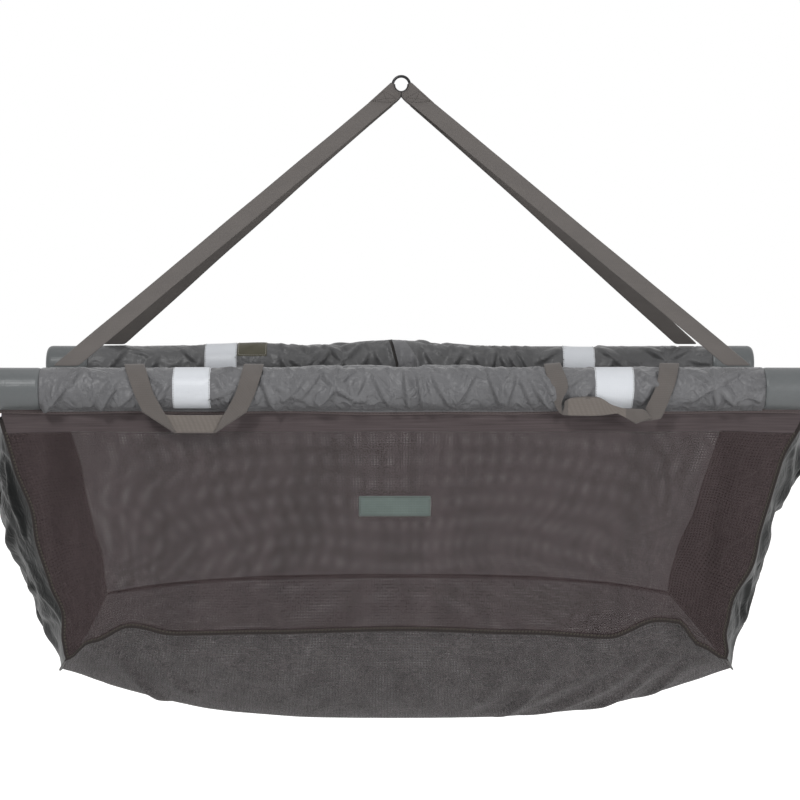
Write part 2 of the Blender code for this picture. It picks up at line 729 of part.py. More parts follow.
def add_bag():
    add_body("bag", (0, 0, tube_height), "ring")
    add_floor()
    for hand, left_or_right in ((-1, "left"), (1, "right")):
        add_gusset("gusset_" + left_or_right, hand)
        add_gusset_hem("gusset_hem_" + left_or_right, hand)
        add_floor_binding("base_binding_" + left_or_right, hand)


def print_joints():
    print("legs turn on", tuple(leg_top), "and", tuple(leg_foot))
    print("closing turn, degrees", math.degrees(closing_turn), "and drop", closing_drop)
    print("bag drop for each radian", closing_drop / closing_turn)
    print("front handle axis", tuple(handle_axis(-1, 1)))


clear_scene()
sling = new_collection("weigh_sling")
cutters = new_collection("cutters")
add_materials()
add_body("ring")
add_ring()
add_ring_loop("ring_loop_left", -1)
add_ring_loop("ring_loop_right", 1)
add_side("front", -1)
add_side("back", 1)
add_label()
add_back_closures()
add_bag()
print_joints()
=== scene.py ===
import json
import math

import bpy
from mathutils import Vector, noise
from mathutils.bvhtree import BVHTree
from mathutils.kdtree import KDTree
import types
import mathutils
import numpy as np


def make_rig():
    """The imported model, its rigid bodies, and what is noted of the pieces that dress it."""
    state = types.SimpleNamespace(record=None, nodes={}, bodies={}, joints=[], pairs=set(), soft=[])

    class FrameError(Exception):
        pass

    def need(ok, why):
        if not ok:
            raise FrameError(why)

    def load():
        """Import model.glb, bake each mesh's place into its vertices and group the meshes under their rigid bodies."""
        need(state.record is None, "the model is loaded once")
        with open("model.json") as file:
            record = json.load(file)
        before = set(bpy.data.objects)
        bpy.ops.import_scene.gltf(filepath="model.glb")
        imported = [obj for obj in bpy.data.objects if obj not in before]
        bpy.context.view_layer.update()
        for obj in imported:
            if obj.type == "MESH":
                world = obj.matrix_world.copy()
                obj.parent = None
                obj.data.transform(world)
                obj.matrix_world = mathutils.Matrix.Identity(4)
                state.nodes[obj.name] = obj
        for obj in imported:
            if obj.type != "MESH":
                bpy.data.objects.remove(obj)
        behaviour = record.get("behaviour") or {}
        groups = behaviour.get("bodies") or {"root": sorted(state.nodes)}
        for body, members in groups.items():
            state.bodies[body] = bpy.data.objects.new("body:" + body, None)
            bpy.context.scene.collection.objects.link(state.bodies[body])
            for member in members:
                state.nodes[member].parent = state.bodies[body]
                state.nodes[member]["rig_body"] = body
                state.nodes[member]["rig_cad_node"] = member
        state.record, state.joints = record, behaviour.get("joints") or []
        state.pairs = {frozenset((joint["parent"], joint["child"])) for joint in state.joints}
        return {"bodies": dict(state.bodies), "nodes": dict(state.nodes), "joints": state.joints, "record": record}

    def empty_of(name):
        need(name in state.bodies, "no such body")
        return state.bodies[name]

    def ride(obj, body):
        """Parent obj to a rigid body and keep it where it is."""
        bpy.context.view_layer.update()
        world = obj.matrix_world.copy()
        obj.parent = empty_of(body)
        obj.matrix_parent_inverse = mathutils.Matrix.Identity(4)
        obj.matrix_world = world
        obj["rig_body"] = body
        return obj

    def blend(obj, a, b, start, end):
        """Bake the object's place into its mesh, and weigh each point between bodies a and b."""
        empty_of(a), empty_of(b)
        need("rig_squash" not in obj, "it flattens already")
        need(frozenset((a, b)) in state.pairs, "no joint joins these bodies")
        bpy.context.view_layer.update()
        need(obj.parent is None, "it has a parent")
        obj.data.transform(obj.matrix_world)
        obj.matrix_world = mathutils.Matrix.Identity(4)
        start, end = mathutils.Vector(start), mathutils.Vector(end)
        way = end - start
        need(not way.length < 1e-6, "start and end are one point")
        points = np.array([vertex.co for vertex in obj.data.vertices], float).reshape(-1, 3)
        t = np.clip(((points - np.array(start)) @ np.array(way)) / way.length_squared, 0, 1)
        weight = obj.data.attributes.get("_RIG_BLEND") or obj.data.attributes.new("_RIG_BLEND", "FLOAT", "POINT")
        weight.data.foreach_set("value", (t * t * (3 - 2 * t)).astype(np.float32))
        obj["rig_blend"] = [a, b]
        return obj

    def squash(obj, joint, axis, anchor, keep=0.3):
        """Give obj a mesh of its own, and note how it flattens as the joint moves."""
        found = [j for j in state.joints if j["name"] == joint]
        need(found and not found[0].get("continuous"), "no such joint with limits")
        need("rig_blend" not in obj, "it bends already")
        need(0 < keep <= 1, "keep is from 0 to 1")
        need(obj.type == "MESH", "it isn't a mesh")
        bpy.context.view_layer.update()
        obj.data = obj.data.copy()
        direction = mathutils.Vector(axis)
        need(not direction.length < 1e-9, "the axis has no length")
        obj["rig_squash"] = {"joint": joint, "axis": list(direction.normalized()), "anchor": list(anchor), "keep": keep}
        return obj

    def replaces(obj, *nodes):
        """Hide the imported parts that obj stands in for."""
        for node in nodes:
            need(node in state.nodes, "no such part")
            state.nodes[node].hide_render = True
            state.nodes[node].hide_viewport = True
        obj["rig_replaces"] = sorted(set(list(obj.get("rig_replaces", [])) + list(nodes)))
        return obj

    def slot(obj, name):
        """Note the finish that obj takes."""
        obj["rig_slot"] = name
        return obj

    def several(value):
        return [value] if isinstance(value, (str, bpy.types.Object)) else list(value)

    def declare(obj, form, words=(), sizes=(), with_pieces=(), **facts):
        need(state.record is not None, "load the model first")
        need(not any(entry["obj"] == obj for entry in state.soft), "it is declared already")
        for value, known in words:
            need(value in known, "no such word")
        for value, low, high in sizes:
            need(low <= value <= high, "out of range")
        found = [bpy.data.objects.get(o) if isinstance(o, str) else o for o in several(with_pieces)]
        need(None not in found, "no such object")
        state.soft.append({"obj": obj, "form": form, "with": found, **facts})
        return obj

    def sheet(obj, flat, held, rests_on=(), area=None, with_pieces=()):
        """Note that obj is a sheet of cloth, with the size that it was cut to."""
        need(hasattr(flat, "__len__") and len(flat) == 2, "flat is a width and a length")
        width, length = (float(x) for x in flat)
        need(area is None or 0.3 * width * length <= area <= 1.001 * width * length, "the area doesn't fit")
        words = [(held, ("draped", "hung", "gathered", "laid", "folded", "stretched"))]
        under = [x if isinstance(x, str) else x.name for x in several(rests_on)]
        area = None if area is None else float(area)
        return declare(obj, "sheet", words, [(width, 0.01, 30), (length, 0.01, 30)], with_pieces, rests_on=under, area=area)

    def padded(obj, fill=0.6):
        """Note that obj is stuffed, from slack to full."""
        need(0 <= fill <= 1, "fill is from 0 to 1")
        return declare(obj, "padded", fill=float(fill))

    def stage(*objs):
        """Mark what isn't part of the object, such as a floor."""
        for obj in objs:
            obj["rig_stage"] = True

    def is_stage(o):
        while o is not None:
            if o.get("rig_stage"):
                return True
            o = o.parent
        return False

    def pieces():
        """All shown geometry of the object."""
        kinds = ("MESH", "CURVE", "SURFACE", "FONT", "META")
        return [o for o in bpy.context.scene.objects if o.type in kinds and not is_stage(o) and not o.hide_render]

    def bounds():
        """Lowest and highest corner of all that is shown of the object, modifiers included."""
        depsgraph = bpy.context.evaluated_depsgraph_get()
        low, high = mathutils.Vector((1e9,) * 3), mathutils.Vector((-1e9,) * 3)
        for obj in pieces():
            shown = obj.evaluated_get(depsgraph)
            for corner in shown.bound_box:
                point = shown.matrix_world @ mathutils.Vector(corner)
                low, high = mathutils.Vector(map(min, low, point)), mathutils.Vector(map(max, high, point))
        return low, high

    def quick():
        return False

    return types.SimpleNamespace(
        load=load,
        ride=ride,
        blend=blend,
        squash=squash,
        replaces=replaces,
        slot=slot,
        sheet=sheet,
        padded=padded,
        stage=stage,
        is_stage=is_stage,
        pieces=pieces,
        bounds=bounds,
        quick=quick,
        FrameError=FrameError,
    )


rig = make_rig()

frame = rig.load()
cadBox = [list(corner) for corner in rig.bounds()]
bpy.ops.object.select_all(action="DESELECT")
print("frame loaded")

# Places from the CAD part, in metres
sling = {
    "ringHeight": -0.010,  # centre of the lifting ring
    "ringRadius": 0.012,  # to the middle of its wire
    "tubeHeight": -0.422,  # axis of the two float tubes
    "tubeOut": 0.2375,  # from the middle to a tube's axis
    "tubeRadius": 0.028,
    "tubeEnd": 0.545,
    "sleeveEnd": {-1: 0.4748, 1: 0.480},  # seam between the sleeve and its end section, front and back
    "hemDepth": 0.036,
    "legTop": (0.030156, 0.00105, -0.036),
    "legFoot": (0.443, 0.2375, -0.39195),
}
sides = {"front": -1, "back": 1}
hands = {"left": -1, "right": 1}


# Small tools

def fromHex(colour):
    # sRGB hex to the linear colour that Blender works in
    parts = [int(colour[at:at + 2], 16) / 255 for at in (1, 3, 5)]
    return (*[part / 12.92 if part <= 0.04045 else ((part + 0.055) / 1.055) ** 2.4 for part in parts], 1)


def addNode(material, kind, settings=None, links=None):
    # One node with its settings, and its inputs linked from other nodes' outputs
    node = material.node_tree.nodes.new("ShaderNode" + kind)
    for key, value in (settings or {}).items():
        if isinstance(key, int) or key in node.inputs:
            node.inputs[key].default_value = value
        else:
            setattr(node, key, value)
    for key, (source, output) in (links or {}).items():
        material.node_tree.links.new(source.outputs[output], node.inputs[key])
    return node


def startMaterial(name, settings):
    material = bpy.data.materials.new(name)
    material.use_nodes = True
    shader = material.node_tree.nodes["Principled BSDF"]
    for key, value in settings.items():
        shader.inputs[key].default_value = value
    return material, shader


def joinTo(material, source, output, shader, socket):
    material.node_tree.links.new(source.outputs[output], shader.inputs[socket])


def addSeenTest(material):
    # 1 where the camera looks, also in a reflection or through a hole, and 0 for the light it gives
    seen = addNode(material, "LightPath")
    test = addNode(material, "Math", {"operation": "MAXIMUM"},
                   {0: (seen, "Is Camera Ray"), 1: (seen, "Is Glossy Ray")})
    return addNode(material, "Math", {"operation": "MAXIMUM"},
                   {0: (test, 0), 1: (seen, "Is Transmission Ray")})


def makeActive(piece):
    bpy.ops.object.select_all(action="DESELECT")
    piece.select_set(True)
    bpy.context.view_layer.objects.active = piece


def edit(piece, *steps):
    # Runs edit-mode operators on the whole piece
    makeActive(piece)
    bpy.ops.object.mode_set(mode="EDIT")
    bpy.ops.mesh.select_all(action="SELECT")
    for step in steps:
        step()
    bpy.ops.object.mode_set(mode="OBJECT")


def addModifier(piece, kind, **settings):
    modifier = piece.modifiers.new(kind.title(), kind)
    for key, value in settings.items():
        setattr(modifier, key, value)
    return modifier


def applyModifiers(piece):
    makeActive(piece)
    for modifier in list(piece.modifiers):
        bpy.ops.object.modifier_apply(modifier=modifier.name)


def newSheet(name, columns, rows, size, place):
    # A grid whose points go to place(across, along), each from 0 to 1, with a UV map in metres
    bpy.ops.mesh.primitive_grid_add(x_subdivisions=columns, y_subdivisions=rows, size=1)
    piece = bpy.context.object
    piece.name = piece.data.name = name
    for vertex in piece.data.vertices:
        vertex.co = place(min(max(vertex.co.x + 0.5, 0), 1), min(max(vertex.co.y + 0.5, 0), 1))
    for corner in piece.data.uv_layers.active.data:
        corner.uv = (corner.uv.x * size[0], corner.uv.y * size[1])
    return piece


def finishPiece(piece, material, body, slot=None, replaced=(), thickness=None, offset=0, levels=1):
    # Thickness, smoothing, material and the body it rides on
    if thickness:
        addModifier(piece, "SOLIDIFY", thickness=thickness, offset=offset)
    if levels:
        addModifier(piece, "SUBSURF", levels=levels, render_levels=levels)
    applyModifiers(piece)
    piece.data.materials.clear()
    piece.data.materials.append(material)
    bpy.ops.object.shade_smooth()
    if body:
        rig.ride(piece, body)
    if slot:
        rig.slot(piece, slot)
    if replaced:
        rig.replaces(piece, *replaced)
    return piece


def alongLine(points, share):
    # A point at a share of the way through a list, on a smooth curve through all of them
    last = len(points) - 1
    at = min(int(share * last), last - 1)
    t = share * last - at
    p0, p1, p2, p3 = (Vector(points[min(max(at + step, 0), last)]) for step in (-1, 0, 1, 2))
    return 0.5 * (2 * p1 + (p2 - p0) * t + (2 * p0 - 5 * p1 + 4 * p2 - p3) * t ** 2
                  + (3 * p1 - p0 - 3 * p2 + p3) * t ** 3)


def betweenValues(table, where):
    # A value read from a table of (place, value), with a smooth step between its rows
    if where <= table[0][0]:
        return table[0][1]
    for (x0, v0), (x1, v1) in zip(table, table[1:]):
        if where <= x1:
            t = (where - x0) / (x1 - x0)
            return v0 + (v1 - v0) * t * t * (3 - 2 * t)
    return table[-1][1]


def between(ends, share):
    return ends[0] + (ends[1] - ends[0]) * share


def onTube(side, x, turn, radius):
    # Turn is in degrees round a tube, from its outer side over the top
    angle = math.radians(turn)
    return Vector((x, side * (sling["tubeOut"] + radius * math.cos(angle)),
                   sling["tubeHeight"] + radius * math.sin(angle)))


probe = 0.08  # how far out from a tube's axis its surface is looked for


def surfaceOf(piece):
    return BVHTree.FromObject(piece, bpy.context.evaluated_depsgraph_get())


def onSurface(tree, side, x, turn, lift):
    # The point on a sleeve's outer face at that turn, lifted off it
    axis = Vector((x, side * sling["tubeOut"], sling["tubeHeight"]))
    outwards = (onTube(side, x, turn, 1) - axis).normalized()
    hit = tree.ray_cast(axis + outwards * probe, -outwards, probe)[0]
    if hit is None:
        hit = axis + outwards * sling["tubeRadius"]
    return hit + outwards * lift


calm = {"air": 4, "pull": 10, "gap": 0.001}  # how soon a hung cloth comes to rest


def runCloth(piece, settings, collider=None):
    # Steps a cloth simulation and keeps its last frame as the mesh
    cloth = addModifier(piece, "CLOTH")
    for key in ("quality", "mass", "tension_stiffness", "compression_stiffness", "shear_stiffness",
                "bending_stiffness", "shrink_min", "shrink_max", "uniform_pressure_force"):
        if key in settings:
            setattr(cloth.settings, key, settings[key])
    cloth.settings.use_pressure = "uniform_pressure_force" in settings
    cloth.settings.air_damping = calm["air"]
    cloth.settings.tension_damping = calm["pull"]
    cloth.settings.compression_damping = calm["pull"]
    cloth.settings.vertex_group_mass = "held"
    if "slack" in piece.vertex_groups:
        cloth.settings.vertex_group_shrink = "slack"
    cloth.settings.effector_weights.gravity = settings.get("gravity", 1)
    cloth.collision_settings.use_collision = collider is not None
    cloth.collision_settings.distance_min = calm["gap"]
    cloth.collision_settings.use_self_collision = False
    scene = bpy.context.scene
    for span in (cloth.point_cache, scene):
        span.frame_start = 1
        span.frame_end = settings["frames"]
    for step in range(1, settings["frames"] + 1):
        scene.frame_set(step)
    makeActive(piece)
    bpy.ops.object.modifier_apply(modifier=cloth.name)
    scene.frame_set(1)


def holdPoints(piece, group, weigh):
    # A vertex group whose weight at each point comes from weigh(point)
    made = piece.vertex_groups.new(name=group)
    for vertex in piece.data.vertices:
        weight = weigh(vertex.co)
        if weight > 0:
            made.add([vertex.index], min(weight, 1), "REPLACE")


def sewOutline(corners, steps, place):
    # Lines of points from each corner to the next, each point put where place(across, up) says
    lines = []
    for (across0, up0), (across1, up1) in zip(corners, corners[1:]):
        lines.append([place(across0 + (across1 - across0) * k / steps, up0 + (up1 - up0) * k / steps)
                      for k in range(steps + 1)])
    return lines


# Camera, lights and backdrop

view = {
    "place": (-0.018, -2.934, -0.202),
    "down": 4.98,  # degrees below level
    "right": 0.317,
    "lens": 92.4,
    "near": 0.1,
}
bpy.ops.object.camera_add(location=view["place"],
                          rotation=(math.radians(90 - view["down"]), 0, -math.radians(view["right"])))
camera = bpy.context.object
camera.data.lens = view["lens"]
camera.data.clip_start = view["near"]
bpy.context.scene.camera = camera
bpy.context.scene.view_settings.view_transform = "Standard"

studio = {
    "floorHeight": -1.42,
    "floorSize": 14,
    "floorBack": 3,
    "aim": (0, 0, -0.5),
    "worldLight": 0.37,
    "paperGlow": 0.80,
    "lamps": [  # place, size, watts
        ((-1.0, -2.7, 1.5), 0.6, 47),
        ((1.8, -2.7, -0.1), 1.2, 28),
        ((-0.2, 0.2, 2.4), 1.8, 9),
    ],
}
for place, size, watts in studio["lamps"]:
    aim = (Vector(studio["aim"]) - Vector(place)).to_track_quat("-Z", "Y").to_euler()
    bpy.ops.object.light_add(type="AREA", location=place, rotation=aim)
    bpy.context.object.data.size = size
    bpy.context.object.data.energy = watts

world = bpy.data.worlds.new("studio")
bpy.context.scene.world = world
world.use_nodes = True
seen = addSeenTest(world)
strength = addNode(world, "MapRange", {"To Min": studio["worldLight"], "To Max": 1.0}, {"Value": (seen, 0)})
background = world.node_tree.nodes["Background"]
background.inputs["Color"].default_value = (1, 1, 1, 1)
joinTo(world, strength, "Result", background, "Strength")

# Matt paper sweep: it shows white to the camera, and keeps the sling's shadow
paper, shader = startMaterial("matt_paper", {"Base Color": fromHex("#f7f7f6"), "Roughness": 0.95})
seen = addSeenTest(paper)
glow = addNode(paper, "MapRange", {"To Min": 0.0, "To Max": studio["paperGlow"]}, {"Value": (seen, 0)})
shader.inputs["Emission Color"].default_value = (1, 1, 1, 1)
joinTo(paper, glow, "Result", shader, "Emission Strength")
bpy.ops.mesh.primitive_plane_add(size=studio["floorSize"],
                                 location=(0, studio["floorBack"], studio["floorHeight"]))
floor = bpy.context.object
floor.name = "paper_floor"
floor.data.materials.append(paper)
bpy.ops.object.transform_apply(location=True)
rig.stage(floor)
print("camera and studio set")


# Materials

bandScale = 0.314  # a wave texture of this scale shows one band in each metre
multiply = {"data_type": "RGBA", "blend_type": "MULTIPLY", 0: 1.0}


def addWeave(material, pitch):
    # Crossing threads, one for each pitch in metres, on the piece's own flat map
    flat = addNode(material, "UVMap")
    warp = addNode(material, "TexWave", {"Scale": bandScale / pitch, "bands_direction": "X"},
                   {"Vector": (flat, "UV")})
    weft = addNode(material, "TexWave", {"Scale": bandScale / pitch, "bands_direction": "Y"},
                   {"Vector": (flat, "UV")})
    return flat, addNode(material, "Math", {"operation": "MULTIPLY"}, {0: (warp, "Fac"), 1: (weft, "Fac")})


def webbingMaterial(name, colour, light, rib=0.0032, cord=0.0021, ribShade=(0.90, 1.06)):
    # Nylon webbing, woven on a narrow loom: flat ribs across it, soft sheen, paler where it rubs
    # Its ribs are 1.6 mm apart, and drawn as wide as they need to be to show
    material, shader = startMaterial(name, {"Roughness": 0.72, "Specular IOR Level": 0.2,
                                            "Sheen Weight": 0.2, "Sheen Roughness": 0.5})
    where = addNode(material, "UVMap")
    ribs = addNode(material, "TexWave", {"Scale": bandScale / rib, "bands_direction": "Y",
                                         "Distortion": 0.6, "Detail Scale": 200}, {"Vector": (where, "UV")})
    cords = addNode(material, "TexWave", {"Scale": bandScale / cord, "bands_direction": "X"},
                    {"Vector": (where, "UV")})
    weave = addNode(material, "Math", {"operation": "MULTIPLY"}, {0: (ribs, "Fac"), 1: (cords, "Fac")})
    patches = addNode(material, "TexNoise", {"Scale": 28, "Detail": 4, "Roughness": 0.6},
                      {"Vector": (where, "UV")})
    fuzz = addNode(material, "TexNoise", {"Scale": 900, "Detail": 2}, {"Vector": (where, "UV")})
    base = addNode(material, "Mix", {"data_type": "RGBA", 6: fromHex(colour), 7: fromHex(light)},
                   {0: (patches, "Fac")})
    shade = addNode(material, "MapRange", {"To Min": ribShade[0], "To Max": ribShade[1]},
                    {"Value": (weave, 0)})
    tone = addNode(material, "Mix", multiply, {6: (base, 2), 7: (shade, "Result")})
    height = addNode(material, "Math", {"operation": "MULTIPLY_ADD", 1: 0.25},
                     {0: (fuzz, "Fac"), 2: (weave, 0)})
    bump = addNode(material, "Bump", {"Strength": 0.22, "Distance": 0.0006}, {"Height": (height, 0)})
    joinTo(material, tone, 2, shader, "Base Color")
    joinTo(material, bump, "Normal", shader, "Normal")
    return material


def nylonMaterial(name, colour, light, roughness, pitch, crease, gloss=0.28, threadShade=(0.95, 1.03)):
    # Woven nylon with a thin coating on its inside: plain weave, dull gloss, fine dry creases
    # The real threads are too fine to show, so they are drawn coarser
    material, shader = startMaterial(name, {"Roughness": roughness, "Specular IOR Level": gloss,
                                            "Sheen Weight": 0.05, "Sheen Roughness": 0.4})
    where = addNode(material, "TexCoord")
    patches = addNode(material, "TexNoise", {"Scale": 9, "Detail": 5, "Roughness": 0.62, "Distortion": 0.4},
                      {"Vector": (where, "Object")})
    base = addNode(material, "Mix", {"data_type": "RGBA", 6: fromHex(colour), 7: fromHex(light)},
                   {0: (patches, "Fac")})
    flat, threads = addWeave(material, pitch)
    creases = addNode(material, "TexNoise", {"Scale": 44, "Detail": 3, "Roughness": 0.5, "Distortion": 0.7},
                      {"Vector": (where, "Object")})
    ridge = addNode(material, "Math", {"operation": "SUBTRACT", 1: 0.5}, {0: (creases, "Fac")})
    ridge = addNode(material, "Math", {"operation": "ABSOLUTE"}, {0: (ridge, 0)})
    ridge = addNode(material, "MapRange", {"From Max": 0.12, "To Min": 1.0, "To Max": 0.0},
                    {"Value": (ridge, 0)})
    fine = addNode(material, "Bump", {"Strength": 0.25, "Distance": 0.0003}, {"Height": (threads, 0)})
    bump = addNode(material, "Bump", {"Strength": crease, "Distance": 0.0016},
                   {"Height": (ridge, "Result"), "Normal": (fine, "Normal")})
    shade = addNode(material, "MapRange", {"To Min": threadShade[0], "To Max": threadShade[1]},
                    {"Value": (threads, 0)})
    tone = addNode(material, "Mix", multiply, {6: (base, 2), 7: (shade, "Result")})
    joinTo(material, tone, 2, shader, "Base Color")
    joinTo(material, bump, "Normal", shader, "Normal")
    return material


def meshMaterial(name, colour, light, pitch, solidness, opening, grain, mottle, turnIn=0):
    # Knitted polyester fish mesh: soft dull yarn round small holes, through which what lies behind shows
    # Its holes are about 1 mm apart, and drawn as coarse as they need to be to show
    material, shader = startMaterial(name, {"Roughness": 0.85, "Specular IOR Level": 0.15,
                                            "Sheen Weight": 0.15, "Sheen Roughness": 0.5})
    flat, holes = addWeave(material, pitch)
    solid = addNode(material, "MapRange", {"To Min": solidness, "To Max": solidness - opening},
                    {"Value": (holes, 0)})
    spot = addNode(material, "TexCoord")
    hang = addNode(material, "Mapping", {"Scale": (22, 22, 4)}, {"Vector": (spot, "Object")})
    patches = addNode(material, "TexNoise", {"Scale": 1, "Detail": 4, "Roughness": 0.55, "Distortion": 0.6},
                      {"Vector": (hang, "Vector")})
    yarn = addNode(material, "TexNoise", {"Scale": 1 / grain, "Detail": 2, "Distortion": 0.8},
                   {"Vector": (spot, "Object")})
    base = addNode(material, "Mix", {"data_type": "RGBA", 6: fromHex(colour), 7: fromHex(light)},
                   {0: (patches, "Fac")})
    speck = addNode(material, "MapRange", {"From Min": 0.3, "From Max": 0.7, "To Min": 1 - mottle,
                                           "To Max": 1 + mottle}, {"Value": (yarn, "Fac")})
    tone = addNode(material, "Mix", multiply, {6: (base, 2), 7: (speck, "Result")})
    bump = addNode(material, "Bump", {"Strength": 0.5, "Distance": 0.0006}, {"Height": (yarn, "Fac")})
    joinTo(material, bump, "Normal", shader, "Normal")
    if turnIn:  # the top is turned in and lies double: paler, closed, its knitted rows showing
        split = addNode(material, "SeparateXYZ", None, {0: (flat, "UV")})
        double = addNode(material, "MapRange", {"From Min": turnIn, "From Max": turnIn + 0.003,
                                                "To Min": 0.93, "To Max": 0.0}, {"Value": (split, "Y")})
        long = addNode(material, "Mapping", {"Scale": (14, 420, 1)}, {"Vector": (flat, "UV")})
        rows = addNode(material, "TexNoise", {"Scale": 1, "Detail": 1}, {"Vector": (long, "Vector")})
        row = addNode(material, "Mix", {"data_type": "RGBA", 6: fromHex("#3c3536"), 7: fromHex("#605758")},
                      {0: (rows, "Fac")})
        tone = addNode(material, "Mix", {"data_type": "RGBA"},
                       {0: (double, "Result"), 6: (tone, 2), 7: (row, 2)})
        solid = addNode(material, "Math", {"operation": "MAXIMUM"},
                        {0: (solid, "Result"), 1: (double, "Result")})
    joinTo(material, tone, 2, shader, "Base Color")
    joinTo(material, solid, 0, shader, "Alpha")
    return material


def plainMaterial(name, colour, light, grain, height, strength, **settings):
    # A moulded, cast or coated finish: its colour shifts a little over a fine grain
    material, shader = startMaterial(name, settings)
    where = addNode(material, "TexCoord")
    patches = addNode(material, "TexNoise", {"Scale": grain, "Detail": 5, "Roughness": 0.6},
                      {"Vector": (where, "Object")})
    base = addNode(material, "Mix", {"data_type": "RGBA", 6: fromHex(colour), 7: fromHex(light)},
                   {0: (patches, "Fac")})
    bump = addNode(material, "Bump", {"Strength": strength, "Distance": height}, {"Height": (patches, "Fac")})
    joinTo(material, base, 2, shader, "Base Color")
    joinTo(material, bump, "Normal", shader, "Normal")
    return material


# Stoved enamel on steel wire: nearly black, a low gloss with a faint orange peel
glossEnamel = plainMaterial("gloss_black_enamel", "#0b0b0c", "#16161a", 240, 0.0001, 0.2, **{
    "Roughness": 0.28, "Specular IOR Level": 0.3, "Coat Weight": 0.1, "Coat Roughness": 0.05})
# Plain webbing: dull grey-brown ribs
greyWebbing = webbingMaterial("grey_nylon_webbing", "#5d5957", "#6c6764")
# The other face of the same webbing, drawn lighter, with its ribs standing out
ribbedWebbing = webbingMaterial("ribbed_nylon_webbing", "#68625e", "#7a736d", rib=0.0062,
                                ribShade=(0.88, 1.06))
# Handles are a softer webbing, gone a little darker with use
handleWebbing = webbingMaterial("handle_nylon_webbing", "#585350", "#686360")
# Painted shade: webbing drawn dark where shade falls in the ring's hole, under the loops and in the slit by the back
# placket
paintedShadeWebbing = webbingMaterial("rubbed_nylon_webbing", "#2c2a29", "#3a3736")
# Narrow bias tape, close and dark, which outlines the seams
bindingTape = webbingMaterial("brown_binding_tape", "#211c1b", "#2c2624")
# Folded tape under the tubes: browner than the nylon above it
hemTape = webbingMaterial("hem_tape", "#584e4f", "#665c5b")
# Hook tape: short stiff hooks, olive and quite dull
oliveHook = webbingMaterial("olive_hook_tape", "#49473c", "#5a574a")
# Woven label: close satin weave, grey-green, left bare
bareLabel = webbingMaterial("woven_label", "#535d5a", "#6e7975")
# Oxford nylon on the front: grey, with a dull gloss that picks out every dry crease
sleeveNylon = nylonMaterial("sleeve_oxford_nylon", "#5b5b5d", "#707072", roughness=0.38, pitch=0.0024,
                            crease=0.62)
# The same on the back, in the front tube's shade: darker and quieter
darkNylon = nylonMaterial("back_sleeve_oxford_nylon", "#4f4f50", "#5e5e5f", roughness=0.38, pitch=0.0024,
                          crease=0.3)
# The slit's flap is the same nylon, doubled and pressed flat, and drawn paler than the sleeve round it
flapNylon = nylonMaterial("pressed_flap_nylon", "#626264", "#737375", roughness=0.40, pitch=0.0024,
                          crease=0.35)
# Coated nylon on the ends: smooth and taut, with a soft broad highlight
coatedNylon = nylonMaterial("coated_end_nylon", "#5b5e5f", "#676a6b", roughness=0.36, pitch=0.0030,
                            crease=0.10)
# Ripstop nylon in the gussets: nearly black, crumpled, with pale edges where it bends
gussetNylon = nylonMaterial("gusset_ripstop_nylon", "#101111", "#202121", roughness=0.38, pitch=0.0040,
                            crease=0.32, gloss=0.05)
# Glass-bead tape: pale, slightly pearly, with a faint grid where it is heat-bonded
beadTape = nylonMaterial("glass_bead_tape", "#c9ccd1", "#d6d9de", roughness=0.38, pitch=0.0030, crease=0.06,
                         gloss=0.3, threadShade=(0.99, 1.0))
# The walls: one thin layer, brown-grey, seen through
fishMesh = meshMaterial("knitted_fish_mesh", "#2e2525", "#564b4c", pitch=0.0042, solidness=0.74, opening=0.46,
                        grain=0.0032, mottle=0.20, turnIn=0.0262)
# The floor hangs in soft folds; its mesh is painted a little lighter than the walls', painted light where the lamps
# reach it less
paintedLightFloorMesh = meshMaterial("knitted_floor_mesh", "#373132", "#656061", pitch=0.0042, solidness=0.78,
                         opening=0.44, grain=0.0050, mottle=0.42)
# Spun polyester thread: dull, a touch lighter or darker than what it holds
thread = {}
for name, colour, light in (("pale", "#b9b6ae", "#8f8b84"), ("dark", "#2a2624", "#3d3835"),
                            ("olive", "#544f45", "#454138"), ("grey", "#8a8680", "#6b6762")):
    thread[name] = plainMaterial(name + "_sewing_thread", colour, light, 900, 0.0001, 0.3, Roughness=0.8)
# Closed-cell foam: dark grey, dull, with fine pores
cellFoam = plainMaterial("closed_cell_foam", "#3a3a3b", "#4a4a4b", 600, 0.0006, 0.6, Roughness=0.92)
# Drawn aluminium tube: bright, with a soft reflection along it
drawnAluminium = plainMaterial("drawn_aluminium", "#c9cacc", "#b4b5b8", 120, 0.0001, 0.1,
                               Metallic=1.0, Roughness=0.32)
# Moulded plastic: black, half dull, finely grained
mouldedPlastic = plainMaterial("moulded_black_plastic", "#17171a", "#202024", 500, 0.0002, 0.3,
                               Roughness=0.45)
print("materials made")


# Lifting ring: bent wire with a slight bead where it is welded, hidden under the webbing

ring = {"wire": 0.002, "turns": 96, "sides": 24, "bead": 1.07, "beadWidth": 0.10}
bpy.ops.mesh.primitive_torus_add(location=(0, 0, sling["ringHeight"]), rotation=(math.radians(90), 0, 0),
                                 major_radius=sling["ringRadius"], minor_radius=ring["wire"],
                                 major_segments=ring["turns"], minor_segments=ring["sides"])
liftingRing = bpy.context.object
liftingRing.name = "enamelled_ring"
bpy.ops.object.transform_apply(location=True, rotation=True)
for vertex in liftingRing.data.vertices:
    centre = Vector((0, 0, sling["ringHeight"]))
    across = Vector((vertex.co.x, 0, vertex.co.z - sling["ringHeight"]))
    wireMiddle = centre + across.normalized() * sling["ringRadius"]
    turn = math.atan2(across.x, -across.z)
    swell = 1 + (ring["bead"] - 1) * math.exp(-(turn / ring["beadWidth"]) ** 2)
    vertex.co = wireMiddle + (vertex.co - wireMiddle) * swell
finishPiece(liftingRing, glossEnamel, "ring", "black_steel", ["lifting_ring"], levels=0)


# Stitches: one short dash of thread, copied along lines

stitch = {"sides": 6, "shoulder": 0.34, "lift": 0.0001}


